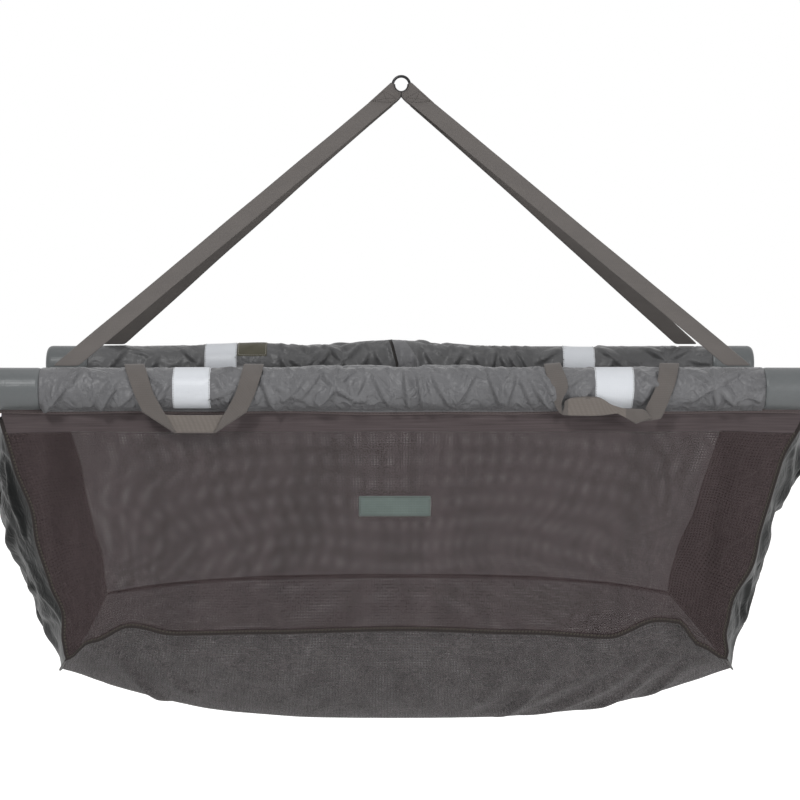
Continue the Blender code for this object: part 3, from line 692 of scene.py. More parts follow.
def dash(length, radius):
    # A lozenge of thread along +X
    count = stitch["sides"]
    points = [Vector((-length / 2, 0, 0))]
    for x in (-length * stitch["shoulder"], length * stitch["shoulder"]):
        for k in range(count):
            turn = math.tau * k / count
            points.append(Vector((x, radius * math.cos(turn), radius * math.sin(turn))))
    points.append(Vector((length / 2, 0, 0)))
    near, far, tip = 1, 1 + count, 1 + 2 * count
    after = [(k + 1) % count for k in range(count)]
    faces = [(0, near + after[k], near + k) for k in range(count)]
    faces += [(near + k, near + after[k], far + after[k], far + k) for k in range(count)]
    faces += [(tip, far + k, far + after[k]) for k in range(count)]
    return points, faces


def sewLines(name, lines, material, body, length, gap, radius, slot=None):
    # Lines are lists of points; a dash lies along each stretch of length, then a gap
    shape, shapeFaces = dash(length, radius)
    points, faces = [], []
    for line in lines:
        line = [Vector(point) for point in line]
        reach, walked = [0.0], 0.0
        for first, second in zip(line, line[1:]):
            walked += (second - first).length
            reach.append(walked)

        def at(distance):
            for k in range(len(line) - 1):
                if distance <= reach[k + 1]:
                    span = max(reach[k + 1] - reach[k], 1e-9)
                    return line[k].lerp(line[k + 1], (distance - reach[k]) / span)
            return line[-1]

        distance = gap / 2
        while distance + length <= walked:
            start, end = at(distance), at(distance + length)
            turn = (end - start).to_track_quat("X", "Z").to_matrix()
            first = len(points)
            points += [(start + end) / 2 + turn @ point for point in shape]
            faces += [tuple(first + k for k in face) for face in shapeFaces]
            distance += length + gap
    mesh = bpy.data.meshes.new(name)
    mesh.from_pydata(points, [], faces)
    piece = bpy.data.objects.new(name, mesh)
    bpy.context.scene.collection.objects.link(piece)
    return finishPiece(piece, material, body, slot, levels=0)


# Loops: the webbing comes up in front of the ring's wire, goes through the hole and down behind it

loop = {
    "size": (0.025, 0.09), "thickness": 0.0015, "columns": 14, "rows": 34,
    "edgeHigh": (0.0146, 0, 0.0034), "edgeLow": (-0.0004, 0, -0.0168),  # its edges, from the ring's centre
    "wrap": (-8, 92),  # degrees round the ring, from level to its lowest point
    "straight": 0.62,  # share of each half that lies between the hinge and the ring
    "liftFrom": 0.55,  # share of that where it starts to rise over the wire
    "onWire": 0.4545, "toWire": 2.2,  # share of the rest where it meets the wire, and how fast it gets there
    "wireGap": 0.00015, "layerGap": 0.0003, "peek": 0.0024,
    "rubbed": 0.0106, "middle": 0.0012, "behind": (0.0004, -0.012),  # where shade is painted on it: round the hole, along the middle, and low on the back layer
    "seams": (((0.10, 0.62), (0.90, 0.62), (0.90, 0.10), (0.10, 0.10), (0.10, 0.62)),
              ((0.10, 0.10), (0.90, 0.62)), ((0.90, 0.10), (0.10, 0.62))),
    "seamSteps": 8,
}
hinge = {"half": 0.01738, "skew": 0.0012}  # along X where loop and leg meet: half the width, and its slant


def loopPoint(hand, across, along):
    # Along runs from the front leg's hinge, round the wire, to the back leg's
    top = Vector(sling["legTop"])
    foot = Vector((top.x + hinge["half"] * (1 - 2 * across) - hinge["skew"] * across, 0, top.z))
    chord = Vector(loop["edgeHigh"]).lerp(Vector(loop["edgeLow"]), across)
    chord.z += sling["ringHeight"]
    angle = math.radians(between(loop["wrap"], across))
    outwards = Vector((math.cos(angle), 0, -math.sin(angle)))
    wireMiddle = Vector((0, 0, sling["ringHeight"])) + outwards * sling["ringRadius"]
    wrap = ring["wire"] + loop["thickness"] / 2 + loop["wireGap"]
    layer = loop["thickness"] / 2 + loop["layerGap"]
    frontToBack = -1 if along < 0.5 else 1
    share = 1 - abs(2 * along - 1)  # 0 at a hinge, 1 inside the ring
    if share < loop["straight"]:
        share /= loop["straight"]
        point = foot.lerp(chord, share)
        rise = max(0, (share - loop["liftFrom"]) / (1 - loop["liftFrom"])) ** 2
        point.y = frontToBack * (layer + (wrap - layer) * rise)
        if frontToBack > 0:
            point.z -= loop["peek"] * across * (1 - share ** 3)  # the back layer shows under the front one
    else:
        turn = (share - loop["straight"]) / (1 - loop["straight"])
        start = chord.lerp(wireMiddle, min(1, turn * loop["toWire"]))
        point = Vector((start.x, frontToBack * wrap, start.z))
        if turn >= loop["onWire"]:
            bend = math.radians(90 * (turn - loop["onWire"]) / (1 - loop["onWire"]))
            point = wireMiddle - outwards * wrap * math.sin(bend)
            point.y = frontToBack * wrap * math.cos(bend)
    return Vector((hand * point.x, point.y, point.z))


for handName, hand in hands.items():
    piece = newSheet("webbing_loop_" + handName, loop["columns"], loop["rows"] * 2, loop["size"],
                     lambda across, along: loopPoint(hand, across, along))
    finishPiece(piece, greyWebbing, "ring", "webbing", ["ring_loop_" + handName], loop["thickness"])
    # Painted shade: faces in the ring's hole, along the middle and low on the back layer take the dark webbing
    piece.data.materials.append(paintedShadeWebbing)
    for face in piece.data.polygons:
        x, y, z = face.center
        inRing = math.hypot(x, z - sling["ringHeight"]) < loop["rubbed"]
        behind = y > loop["behind"][0] and z < loop["behind"][1]
        if inRing or behind or abs(x) < loop["middle"]:
            face.material_index = 1
    # Box of stitches that closes the loop under the ring
    lines = []
    for layerSide in (-1, 1):
        def onLoop(across, down):
            place = loopPoint(hand, across, 0.5 + layerSide * 0.5 * (1 - down * loop["straight"]))
            return place + Vector((0, layerSide * (loop["thickness"] / 2 + stitch["lift"]), 0))

        for seam in loop["seams"]:
            lines += sewOutline(seam, loop["seamSteps"], onLoop)
    sewLines("loop_stitches_" + handName, lines, thread["dark"], "ring", 0.0020, 0.0010, 0.0003, "webbing")
print("ring and loops made")


# Legs: webbing from the loops down to each tube, with the slight wave of hanging webbing

leg = {
    "rows": 70, "columns": 6, "size": (0.025, 0.594), "thickness": 0.0015, "wave": 0.0012,
    "lap": 0.0034, "lapOut": 0.0012, "lapShare": 0.02, "peek": 0.0034,
    "normal": (0, 0.356, 0.236),  # out of the webbing's face
}


def legPoint(side, hand, across, along):
    top, foot = Vector(sling["legTop"]), Vector(sling["legFoot"])
    top += (top - foot).normalized() * leg["lap"]
    place = top.lerp(foot, along)
    place.x += hinge["half"] * (1 - 2 * across) - hinge["skew"] * across * (1 - along)
    normal = Vector(leg["normal"]).normalized()
    seed = Vector((side * 3.1 + hand, along * 5.0, across * 0.7))
    ease = math.sin(math.pi * min(1, along)) ** 0.5 if along > 0 else 0
    place += normal * leg["wave"] * noise.noise(seed) * ease * 2
    if side > 0:
        place.z -= leg["peek"] * max(0, 1 - along) ** 6
    place.y += leg["lapOut"] * max(0, 1 - along / leg["lapShare"])
    return Vector((hand * place.x, side * place.y, place.z))


for sideName, side in sides.items():
    for handName, hand in hands.items():
        piece = newSheet("{}_leg_{}".format(sideName, handName), leg["columns"], leg["rows"], leg["size"],
                         lambda across, along: legPoint(side, hand, across, along))
        finishPiece(piece, greyWebbing, None, "webbing", ["{}_strap_{}".format(sideName, handName)],
                    leg["thickness"])
        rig.blend(piece, "ring", sideName + "_straps", (0, 0, -0.0345), (0, side * 0.006, -0.048))
print("legs made")


# Sleeves: oxford nylon sewn into a tube over the foam, longer than the foam, so it crumples

sleeve = {
    "columns": 216, "rows": 40, "size": (0.96, 0.187), "radius": 0.0277, "gap": 0.0013, "thickness": 0.0008,
    "footDepth": 0.0312,
    "bandOut": 0.279, "bandHalf": 0.0245, "legHalf": 0.019, "legUp": 0.022,
    "heldFoot": 0.985, "heldEnd": 0.003,  # its hem and its two ends are sewn down
    "held": ((0.006, 0.018), (-0.229, 0.022)),  # middle and half width of the placket and the patch
    "heldDown": 0.004, "heldBy": 0.9,
    # The back sleeve is fuller over its slit: how much higher it stands there
    "fuller": [(-0.47, 0.0004), (-0.32, 0.0022), (-0.20, 0.0048), (-0.10, 0.0072), (-0.02, 0.0092),
               (0.05, 0.0058), (0.12, 0.0022), (0.19, -0.0008), (0.30, -0.0022), (0.47, -0.0016)],
    "fullerFrom": 0.25, "fullerOut": 9,
    "core": 0.0255, "coreSides": 32, "nudge": 0.0012,
    "shrink": {"front": -0.055, "back": -0.022},
    "cloth": {"frames": 22, "quality": 6, "mass": 0.06, "tension_stiffness": 30, "compression_stiffness": 30,
              "shear_stiffness": 8, "bending_stiffness": 0.04, "uniform_pressure_force": 1.2, "gravity": 0.6},
}
hemLine = {"dip": 0.0022, "at": 0.03, "wide": 0.12, "ripple": 0.0008, "often": 31}


def keyhole(share, radius):
    # Round a sleeve from the outer hem's foot, over the top, to the inner hem's foot: (outwards, up)
    opening = math.asin(sleeve["gap"] / radius)
    legLength = sleeve["footDepth"] - radius * math.cos(opening)
    roundLength = radius * (math.tau - 2 * opening)
    reach = share * (2 * legLength + roundLength)
    if reach < legLength:
        return sleeve["gap"], -sleeve["footDepth"] + reach
    if reach > legLength + roundLength:
        return -sleeve["gap"], -sleeve["footDepth"] + (2 * legLength + roundLength - reach)
    turn = (reach - legLength) / radius + opening - math.pi / 2
    return radius * math.cos(turn), radius * math.sin(turn)


def hemWave(x):
    # The hem's foot isn't quite straight: a little lower in the middle and right of it
    dip = math.exp(-((x - hemLine["at"]) / hemLine["wide"]) ** 2)
    return -hemLine["dip"] * dip + hemLine["ripple"] * math.sin(x * hemLine["often"])


def sleevePoint(side, share, along):
    x = (2 * along - 1) * sling["sleeveEnd"][side]
    out, up = keyhole(share, sleeve["radius"])
    if side > 0:
        fuller = betweenValues(sleeve["fuller"], x)
        top = max(0, up / sleeve["radius"] + sleeve["fullerFrom"]) / (1 + sleeve["fullerFrom"])
        up += fuller * top
        out *= 1 + sleeve["fullerOut"] * top * max(0, fuller)
    if up < -sleeve["radius"]:
        up += hemWave(x) * (-up - sleeve["radius"]) / (sleeve["footDepth"] - sleeve["radius"])
    return Vector((x, side * (sling["tubeOut"] + out), sling["tubeHeight"] + up))


def sleeveHeld(side, point):
    # How firmly a point is held while the cloth settles
    x, up = abs(point.x), point.z - sling["tubeHeight"]
    if up < -sleeve["radius"] * sleeve["heldFoot"] or x > sling["sleeveEnd"][side] - sleeve["heldEnd"]:
        return 1
    if abs(x - sleeve["bandOut"]) < sleeve["bandHalf"]:
        return 1
    if abs(x - sling["legFoot"][0]) < sleeve["legHalf"] and up > sleeve["legUp"]:
        return 1
    sewn = any(abs(point.x - middle) < half for middle, half in sleeve["held"])
    if side > 0 and sewn and up > -sleeve["heldDown"]:
        return sleeve["heldBy"]
    return 0


# Folds pressed into the sleeves, each a ridge between two places, then its height, in millimetres
# A place is its x and its height from the tube's axis
faceFolds = [
    ((-474, -27), (-439, 5), 3.2), ((-439, 5), (-418, 23), 2.2), ((-397, -24), (-375, 5), 3.0),
    ((-378, -22), (-354, -7), 2.4), ((-410, -24), (-397, 3), 1.6), ((-418, 22), (-384, 14), 1.4),
    ((-336, 22), (-309, 1), 2.0), ((-322, -18), (-303, 10), 1.8), ((-249, 14), (-222, 27), 1.8),
    ((-249, -11), (-222, 1), 1.8), ((-244, 18), (-226, -18), 1.4), ((-183, 12), (-165, -25), 2.6),
    ((-172, 8), (-135, -12), 2.0), ((-157, -14), (-125, 14), 2.8), ((-135, -10), (-108, 18), 2.2),
    ((-112, -20), (-88, 2), 3.2), ((-88, 2), (-62, 24), 2.8), ((-110, 24), (-88, 2), 2.6),
    ((-88, 2), (-56, -14), 3.0), ((-69, -20), (-50, 15), 2.2), ((-39, 18), (-16, -20), 2.6),
    ((2, 24), (9, -22), 2.2), ((20, 20), (28, -22), 2.4), ((39, 18), (62, -20), 2.2),
    ((69, -17), (95, 17), 2.4), ((114, 16), (128, -17), 2.8), ((146, 18), (134, -20), 2.4),
    ((155, 12), (169, -16), 2.2), ((166, 12), (197, -24), 3.4), ((180, 20), (208, -24), 2.6),
    ((214, 5), (247, 22), 2.0), ((227, -18), (249, 5), 1.8), ((308, 22), (334, 3), 2.2),
    ((312, -17), (328, 12), 1.8), ((408, 5), (378, 22), 2.8), ((408, 5), (376, -13), 2.6),
    ((408, 5), (436, -19), 3.0), ((408, 5), (446, 22), 2.6), ((408, 5), (406, 25), 2.0),
    ((408, 5), (412, -24), 2.2), ((478, 20), (456, 14), 1.8), ((478, 2), (452, 4), 1.8),
    ((478, -16), (458, -10), 1.8),
]
slitFolds = [
    ((-452, 21), (-434, -8), 2.4), ((-418, -4), (-385, 15), 2.2), ((-340, 6), (-307, 26), 2.0),
    ((-205, -2), (-156, 16), 2.0), ((-175, -10), (-129, 20), 3.0), ((-129, 20), (-62, 27), 2.6),
    ((-92, 8), (-72, 22), 2.8), ((-72, 22), (-26, 27), 2.6), ((-158, -8), (-93, 4), 2.2),
    ((-93, 4), (-29, 19), 2.4), ((14, 12), (125, 18), 2.6), ((125, 18), (220, -6), 2.4),
    ((8, 24), (78, 27), 2.2), ((78, 27), (190, 14), 2.2), ((10, 2), (110, -8), 2.2),
    ((296, 22), (363, 10), 2.4), ((330, 20), (358, -8), 2.4), ((402, 16), (440, -6), 3.0),
    ((384, -8), (420, 20), 2.4), ((452, 20), (436, -10), 2.2),
]
for k in range(24):
    faceFolds.append(((-186 + 16.4 * k, 27), (-180 + 16.4 * k + 5 * (-1) ** k, 18), 1.3))
foldShape = {
    "steep": 0.0042, "gentle": 0.0130, "sunk": 0.0010, "least": 0.4,
    "faceRise": 3.2, "slitRise": 2.4,  # how much higher each fold stands than its table says
    "radius": 28, "footFrom": 1.02, "heldShare": 0.75, "endRun": 0.006, "endSunk": 0.0012,
}


def foldLift(place, folds, shape):
    # Each fold rises gently on its upper side and falls steeply on the lower one; the highest wins
    lift = 0
    for (x0, s0), (x1, s1), height in folds:
        lineX, lineS = x1 - x0, s1 - s0
        long = math.hypot(lineX, lineS)
        if abs(place[0] - (x0 + x1) / 2) > long / 2 + shape["gentle"]:
            continue
        share = ((place[0] - x0) * lineX + (place[1] - s0) * lineS) / long ** 2
        held = min(max(share, 0), 1)
        offX, offS = place[0] - x0 - held * lineX, place[1] - s0 - held * lineS
        upper = offS * abs(lineX) - offX * math.copysign(lineS, lineX * lineS) > 0
        reach = shape["gentle"] if upper else shape["steep"]
        near = max(0, 1 - math.hypot(offX, offS) / reach)
        body = math.sin(math.pi * held) ** 0.5
        lift = max(lift, height * near * (foldShape["least"] + (1 - foldShape["least"]) * body))
    return lift


def foldsOf(side, outer):
    # Each face of a sleeve has its own folds, laid out flat in metres round the tube
    faced = (side < 0) == outer
    chosen = faceFolds if faced else slitFolds
    flip = 1 if faced else -1
    rise = foldShape["faceRise"] if faced else foldShape["slitRise"]
    laid = []
    for first, second, height in chosen:
        ends = []
        for x, z in (first, second):
            turn = math.asin(max(-1, min(1, z / foldShape["radius"])))
            ends.append((flip * x / 1000, sleeve["radius"] * turn))
        laid.append((ends[0], ends[1], height * rise / 1000))
    return laid


sleeveTrees = {}
for sideName, side in sides.items():
    piece = newSheet(sideName + "_sleeve_cloth", sleeve["columns"], sleeve["rows"], sleeve["size"],
                     lambda along, share: sleevePoint(side, share, along))
    for vertex in piece.data.vertices:  # a nudge, so that the cloth buckles unevenly
        if sleeveHeld(side, vertex.co) == 0:
            seed = Vector((vertex.co.x * 38, vertex.co.y * 60 + side * 9, vertex.co.z * 60))
            away = (vertex.co - onTube(side, vertex.co.x, 0, 0)).normalized()
            vertex.co += away * sleeve["nudge"] * noise.noise(seed)
    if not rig.quick():
        bpy.ops.mesh.primitive_cylinder_add(vertices=sleeve["coreSides"], radius=sleeve["core"], depth=1.0,
                                            rotation=(0, math.radians(90), 0),
                                            location=(0, side * sling["tubeOut"], sling["tubeHeight"]))
        core = bpy.context.object
        core.modifiers.new("Collision", "COLLISION")
        core.collision.thickness_outer = calm["gap"]
        holdPoints(piece, "held", lambda point: sleeveHeld(side, point))
        shrink = sleeve["shrink"][sideName]
        runCloth(piece, dict(sleeve["cloth"], shrink_min=shrink, shrink_max=shrink), core)
        bpy.data.objects.remove(core)
    addModifier(piece, "SUBSURF", levels=1, render_levels=1)
    applyModifiers(piece)
    outerFolds, innerFolds = foldsOf(side, True), foldsOf(side, False)
    for vertex in piece.data.vertices:
        out = side * vertex.co.y - sling["tubeOut"]
        up = vertex.co.z - sling["tubeHeight"]
        turn = math.atan2(up, abs(out))
        if up < -sleeve["radius"] * foldShape["footFrom"]:
            continue
        free = 1 - sleeveHeld(side, vertex.co) * foldShape["heldShare"]
        reach = max(0, min(1, (sling["sleeveEnd"][side] - abs(vertex.co.x)) / foldShape["endRun"]))
        place = (vertex.co.x, sleeve["radius"] * turn)
        lift = foldLift(place, outerFolds if out > 0 else innerFolds, foldShape)
        away = Vector((0, side * out, up)).normalized()
        vertex.co += away * ((lift - foldShape["sunk"]) * free * reach - foldShape["endSunk"] * (1 - reach))
    if side < 0:
        edit(piece, bpy.ops.mesh.flip_normals)
    material = sleeveNylon if side < 0 else darkNylon
    finishPiece(piece, material, sideName + "_side", "sleeve_nylon", [sideName + "_sleeve"],
                sleeve["thickness"], -1, 0)
    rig.padded(piece, fill=0.8)
    sleeveTrees[sideName] = surfaceOf(piece)
    print(sideName, "sleeve made")


# Ends of the tubes: smooth coated nylon, closed over the foam, with a rounded edge and a hole for the bar

cap = {
    "columns": 64, "rows": 26, "size": (0.175, 0.09), "radius": 0.0278, "round": 0.008, "hole": 0.0112,
    "pinch": 0.0012, "pinchRun": 0.004, "uneven": 0.012, "thickness": 0.0009,
}


def capPoint(side, hand, share, along):
    # Along runs from the seam with the sleeve to the tube's end, then in over the end to the hole
    seam = sling["sleeveEnd"][side]
    straight = sling["tubeEnd"] - seam - cap["round"]
    quarter = cap["round"] * math.pi / 2
    face = cap["radius"] - cap["round"] - cap["hole"]
    reach = along * (straight + quarter + face)
    if reach < straight:
        radius, x = cap["radius"], seam + reach
        radius -= cap["pinch"] * max(0, 1 - reach / cap["pinchRun"]) ** 2
    elif reach < straight + quarter:
        turn = (reach - straight) / cap["round"]
        radius = cap["radius"] - cap["round"] * (1 - math.cos(turn))
        x = sling["tubeEnd"] - cap["round"] * (1 - math.sin(turn))
    else:
        radius, x = cap["radius"] - cap["round"] - (reach - straight - quarter), sling["tubeEnd"]
    turn = math.tau * share
    radius *= 1 + cap["uneven"] * math.sin(3 * turn + hand) * along
    out, up = radius * math.sin(turn), -radius * math.cos(turn)
    return Vector((hand * x, side * (sling["tubeOut"] + out), sling["tubeHeight"] + up))


for sideName, side in sides.items():
    for handName, hand in hands.items():
        name = "{}_end_{}_cloth".format(sideName, handName)
        piece = newSheet(name, cap["columns"], cap["rows"], cap["size"],
                         lambda share, along: capPoint(side, hand, share, along))
        edit(piece, lambda: bpy.ops.mesh.remove_doubles(threshold=0.00005),
             lambda: bpy.ops.mesh.normals_make_consistent(inside=False))
        node = "{}_end_sleeve_{}".format(sideName, handName)
        finishPiece(piece, coatedNylon, sideName + "_side", "coated_nylon", [node], cap["thickness"], -1)
        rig.padded(piece, fill=1.0)
print("tube ends made")


def layCord(name, points, across, material, body, size, slot, replaced=(), around=16, squareness=0.5):
    # A rolled or folded tape along points: across gives its wide axis, and size is (wide, thick)
    count = len(points)
    reach = [0.0]
    for first, second in zip(points, points[1:]):
        reach.append(reach[-1] + (Vector(second) - Vector(first)).length)

    def place(turn, along):
        k = min(round(along * (count - 1)), count - 1)
        here = Vector(points[k])
        ahead = (Vector(points[min(k + 1, count - 1)]) - Vector(points[max(k - 1, 0)])).normalized()
        wide = Vector(across(k)) if callable(across) else Vector(across)
        wide = (wide - ahead * wide.dot(ahead)).normalized()
        thick = ahead.cross(wide)
        c, s = math.cos(math.tau * turn), math.sin(math.tau * turn)
        c, s = math.copysign(abs(c) ** squareness, c), math.copysign(abs(s) ** squareness, s)
        return here + wide * c * size[0] / 2 + thick * s * size[1] / 2

    piece = newSheet(name, around, count - 1, (2 * (size[0] + size[1]), reach[-1]), place)

    def closeEnds():
        bpy.ops.mesh.remove_doubles(threshold=0.00002)
        bpy.ops.mesh.select_all(action="DESELECT")
        bpy.ops.mesh.select_non_manifold()
        bpy.ops.mesh.edge_face_add()
        bpy.ops.mesh.select_all(action="SELECT")
        bpy.ops.mesh.normals_make_consistent(inside=False)

    edit(piece, closeEnds)
    return finishPiece(piece, material, body, slot, replaced, levels=0)


# Hems: under each sleeve a folded tape grips the top of the mesh

hem = {"top": -0.4490, "foot": -0.4546, "thick": 0.0054, "points": 97, "short": 0.012, "seamDown": 0.0004}
for sideName, side in sides.items():
    middle = (hem["top"] + hem["foot"]) / 2
    line = []
    for k in range(hem["points"]):
        x = (2 * k / (hem["points"] - 1) - 1) * (sling["tubeEnd"] - hem["short"])
        line.append((x, side * sling["tubeOut"], middle + hemWave(x)))
    layCord(sideName + "_hem_tape", line, (0, 0, 1), hemTape, sideName + "_side",
            (hem["top"] - hem["foot"], hem["thick"]), "binding", squareness=0.25)
    stitches = []
    for face in (-1, 1):
        stitches.append([(x, y + face * (hem["thick"] / 2 + stitch["lift"]), z - hem["seamDown"])
                         for x, y, z in line])
    sewLines(sideName + "_hem_stitches", stitches, thread["dark"], sideName + "_side", 0.0030, 0.0016, 0.0003)
print("hems made")


# Tapes and patches that lie on the sleeves

def layPatch(name, side, made, where, material, node, slot):
    # where(across, share) gives x, and share runs through the turns; it follows the sleeve's own surface
    sideName = "front" if side < 0 else "back"

    def place(across, share):
        return onSurface(sleeveTrees[sideName], side, where(across, share), between(made["turns"], share),
                         made["lift"])

    piece = newSheet(name, *made["grid"], made["size"], place)
    makeActive(piece)
    addModifier(piece, "SMOOTH", factor=0.5, iterations=2)
    applyModifiers(piece)
    if side < 0:
        edit(piece, bpy.ops.mesh.flip_normals)
    return finishPiece(piece, material, sideName + "_side", slot, [node], made["thickness"], 1)


band = {
    "half": 0.0250, "lift": 0.0004, "turns": (-62, 242), "grid": (20, 64), "size": (0.05, 0.15),
    "thickness": 0.0007, "ragged": 0.0007, "bulge": 0.0022, "seams": (0.035, 0.965), "seamSteps": 60,
    "middles": {("front", "left"): -0.2757, ("front", "right"): 0.2765,
                ("back", "left"): -0.2760, ("back", "right"): 0.2745},
}
for sideName, side in sides.items():
    for handName, hand in hands.items():
        middle = band["middles"][sideName, handName]
        name = "{}_band_{}".format(sideName, handName)

        def bandX(across, share):
            ragged = band["ragged"] * noise.noise(Vector((share * 22, hand * 3 + round(across) * 7, side)))
            full = side < 0 and hand > 0 and across > 0.5  # one edge of one band bows outwards
            bulge = band["bulge"] * math.sin(math.pi * share) if full else 0
            return middle + (2 * across - 1) * band["half"] + ragged + bulge

        tree = surfaceOf(layPatch(name + "_tape", side, band, bandX, beadTape, name, "reflective_tape"))
        stitches = []
        for across in band["seams"]:
            stitches.append([onSurface(tree, side, bandX(across, k / band["seamSteps"]),
                                       between(band["turns"], k / band["seamSteps"]), stitch["lift"])
                             for k in range(band["seamSteps"] + 1)])
        sewLines(name + "_stitches", stitches, thread["grey"], sideName + "_side",
                 0.0022, 0.0012, 0.00032, "reflective_tape")

patch = {
    "ends": (-0.2510, -0.2045), "turns": (70, 154), "grid": (20, 20), "size": (0.047, 0.045), "lift": 0.0005,
    "thickness": 0.0012, "seam": ((0.05, 0.05), (0.95, 0.05), (0.95, 0.95), (0.05, 0.95), (0.05, 0.05)),
    "seamSteps": 16,
}
tree = surfaceOf(layPatch("back_hook_patch", 1, patch, lambda across, share: between(patch["ends"], across),
                          oliveHook, "back_closure_patch", "olive_hook_tape"))
border = sewOutline(patch["seam"], patch["seamSteps"], lambda across, share: onSurface(
    tree, 1, between(patch["ends"], across), between(patch["turns"], share), stitch["lift"]))
sewLines("hook_patch_stitches", border, thread["pale"], "back_side",
         0.0024, 0.0010, 0.0004, "olive_hook_tape")

# Placket: its left and right edges slant, from the sleeve's top to the flap's foot
placket = {
    "turns": (97, 222), "left": (-0.015, -0.003), "right": (0.005, 0.030), "slantBy": 1.6,
    "size": (0.03, 0.066), "grid": (16, 40), "lift": 0.0006, "lip": 0.0048, "lipFrom": 5, "lipTo": 2.2,
    "thickness": 0.0010,
    "slit": 0.0055, "slitIn": 0.8, "slitGrid": (4, 40), "slitSize": (0.005, 0.066), "slitLift": 0.0004,
    "slitThickness": 0.0006,
}


def placketX(across, share):
    ease = min(1, share * placket["slantBy"])
    return between((between(placket["left"], ease), between(placket["right"], ease)), across)


def placketPoint(across, share):
    lip = min(1, share * placket["lipFrom"]) * max(0, 1 - across * placket["lipTo"]) ** 2
    return onSurface(sleeveTrees["back"], 1, placketX(across, share), between(placket["turns"], share),
                     placket["lift"] + placket["lip"] * lip)


def slitPoint(across, share):
    x = placketX(0, share) + placket["slit"] * (across - placket["slitIn"])
    return onSurface(sleeveTrees["back"], 1, x, between(placket["turns"], share), placket["slitLift"])


piece = newSheet("back_placket_flap", *placket["grid"], placket["size"], placketPoint)
finishPiece(piece, flapNylon, "back_side", "sleeve_nylon", ["back_placket"], placket["thickness"], 1)
# Painted shade: a dark strip along the flap's open edge, where the slit lies in shade
slit = newSheet("back_slit_edge", *placket["slitGrid"], placket["slitSize"], slitPoint)
finishPiece(slit, paintedShadeWebbing, "back_side", "sleeve_nylon", (), placket["slitThickness"], 1)
print("bands, patch and placket made")


# Bag: its two mesh panels, its gussets and its floor are sewn together, then hung as one cloth

bag = {
    "along": 112, "down": 40, "across": 60,
    "hemDepth": 0.0300, "gussetTop": 0.0403, "sideTop": 0.529, "cornerDepth": 0.360,
    "cornerOut": {(-1, -1): 0.446, (-1, 1): 0.431, (1, -1): 0.460, (1, 1): 0.420},  # by side and hand
    "frontFoot": [(-1, 0.360), (-0.93, 0.336), (-0.81, 0.315), (-0.68, 0.326), (-0.4, 0.324), (0, 0.320),
                  (0.4, 0.325), (0.637, 0.331), (0.79, 0.308), (0.85, 0.310), (0.924, 0.343), (1, 0.360)],
    "backFoot": (0.332, 0.028), "keelDepth": 0.4945, "gussetFoot": 0.413, "keelPower": 3,
    "gussetOut": 0.568, "gussetDepth": 0.062, "gussetFootOut": {-1: 0.481, 1: 0.469},
    "gussetBulge": {-1: [(0, 0), (0.2, 0.028), (0.37, 0.031), (0.50, 0.027), (0.63, 0.026), (0.745, 0.014),
                         (0.84, 0.005), (1, 0)],
                    1: [(0, 0), (0.2, 0.010), (0.42, -0.001), (0.51, 0.001), (0.60, -0.009), (0.70, -0.011),
                        (0.77, -0.007), (0.86, -0.011), (1, 0)]},
    "seamWave": {-1: [(0, 0), (0.2, 0.001), (0.38, 0.008), (0.52, 0.003), (0.69, 0.006), (0.80, 0.012),
                      (0.94, 0.002), (1, 0)],
                 1: [(0, 0), (0.17, 0.011), (0.45, 0.010), (0.60, 0.005), (0.76, 0.017), (0.88, 0.013),
                     (1, 0)]},
    "backSeamWave": 0.5, "ripple": 0.0022, "gather": 0.0034, "floorWave": 0.0020, "thickness": 0.0007,
    "calm": {-1: (0.4, 0.6), 1: (0.7, 0.3)},  # how crumpled a gusset's middle is, and how much more its sides
    "sewnGusset": 0.002, "weld": 0.0002,
    "moveCap": 0.016, "crumple": 0.0125,
    "cloth": {"frames": 24, "quality": 5, "mass": 0.02, "tension_stiffness": 25, "compression_stiffness": 25,
              "shear_stiffness": 6, "bending_stiffness": 0.02, "shrink_min": 0.0, "shrink_max": -0.09,
              "gravity": 0.5},
    "slack": {"panel": 0.12, "gusset": 1.0, "floor": 0.25},
    "soft": {"panel": 0.30, "gusset": 0.24, "floor": 0.28},
}


def footDepth(side, share):
    # How far the foot of a panel hangs under the tube's axis: the front one is gathered near its corners
    if side < 0:
        return betweenValues(bag["frontFoot"], share)
    return bag["backFoot"][0] + bag["backFoot"][1] * abs(share) ** 3


def sideOut(depth, side, hand):
    # Half width of a panel at a depth under the tube's axis; side may be a share from front to back
    front, back = bag["cornerOut"][-1, hand], bag["cornerOut"][1, hand]
    corner = (front + back) / 2 + (back - front) / 2 * side
    start = sling["hemDepth"]
    return bag["sideTop"] + (depth - start) / (bag["cornerDepth"] - start) * (corner - bag["sideTop"])


def seamWave(down, side, hand):
    # How far the gathered seam between a panel and a gusset wanders inwards
    return betweenValues(bag["seamWave"][hand], down) * (1 if side < 0 else bag["backSeamWave"])


def calmMiddle(hand, share):
    least, more = bag["calm"][hand]
    return least + more * min(1, share)


def panelPoint(side, along, down):
    share = 2 * along - 1
    row = down * (bag["down"] + 1) - 1  # the first row lies inside the hem
    depth = bag["hemDepth"]
    if row >= 0:
        depth = bag["gussetTop"] + (footDepth(side, share) - bag["gussetTop"]) * row / bag["down"]
    hand = -1 if share < 0 else 1
    start = sideOut(bag["gussetTop"], side, hand)
    half = sideOut(depth, side, hand)
    if row >= 0:
        half = start + (bag["cornerOut"][side, hand] - start) * row / bag["down"]
        half -= seamWave(row / bag["down"], side, hand)
    soft = min(1, 6 * down * (1 - down)) * (1 - share ** 8)
    ripple = bag["ripple"] * noise.noise(Vector((share * 5, depth * 4, side * 3)))
    gather = noise.noise(Vector((share * 22 + depth * 9, depth * 5, side * 7)))
    ripple += bag["gather"] * abs(share) ** 3 * gather
    return Vector((share * half, side * (sling["tubeOut"] + ripple * soft), sling["tubeHeight"] - depth))


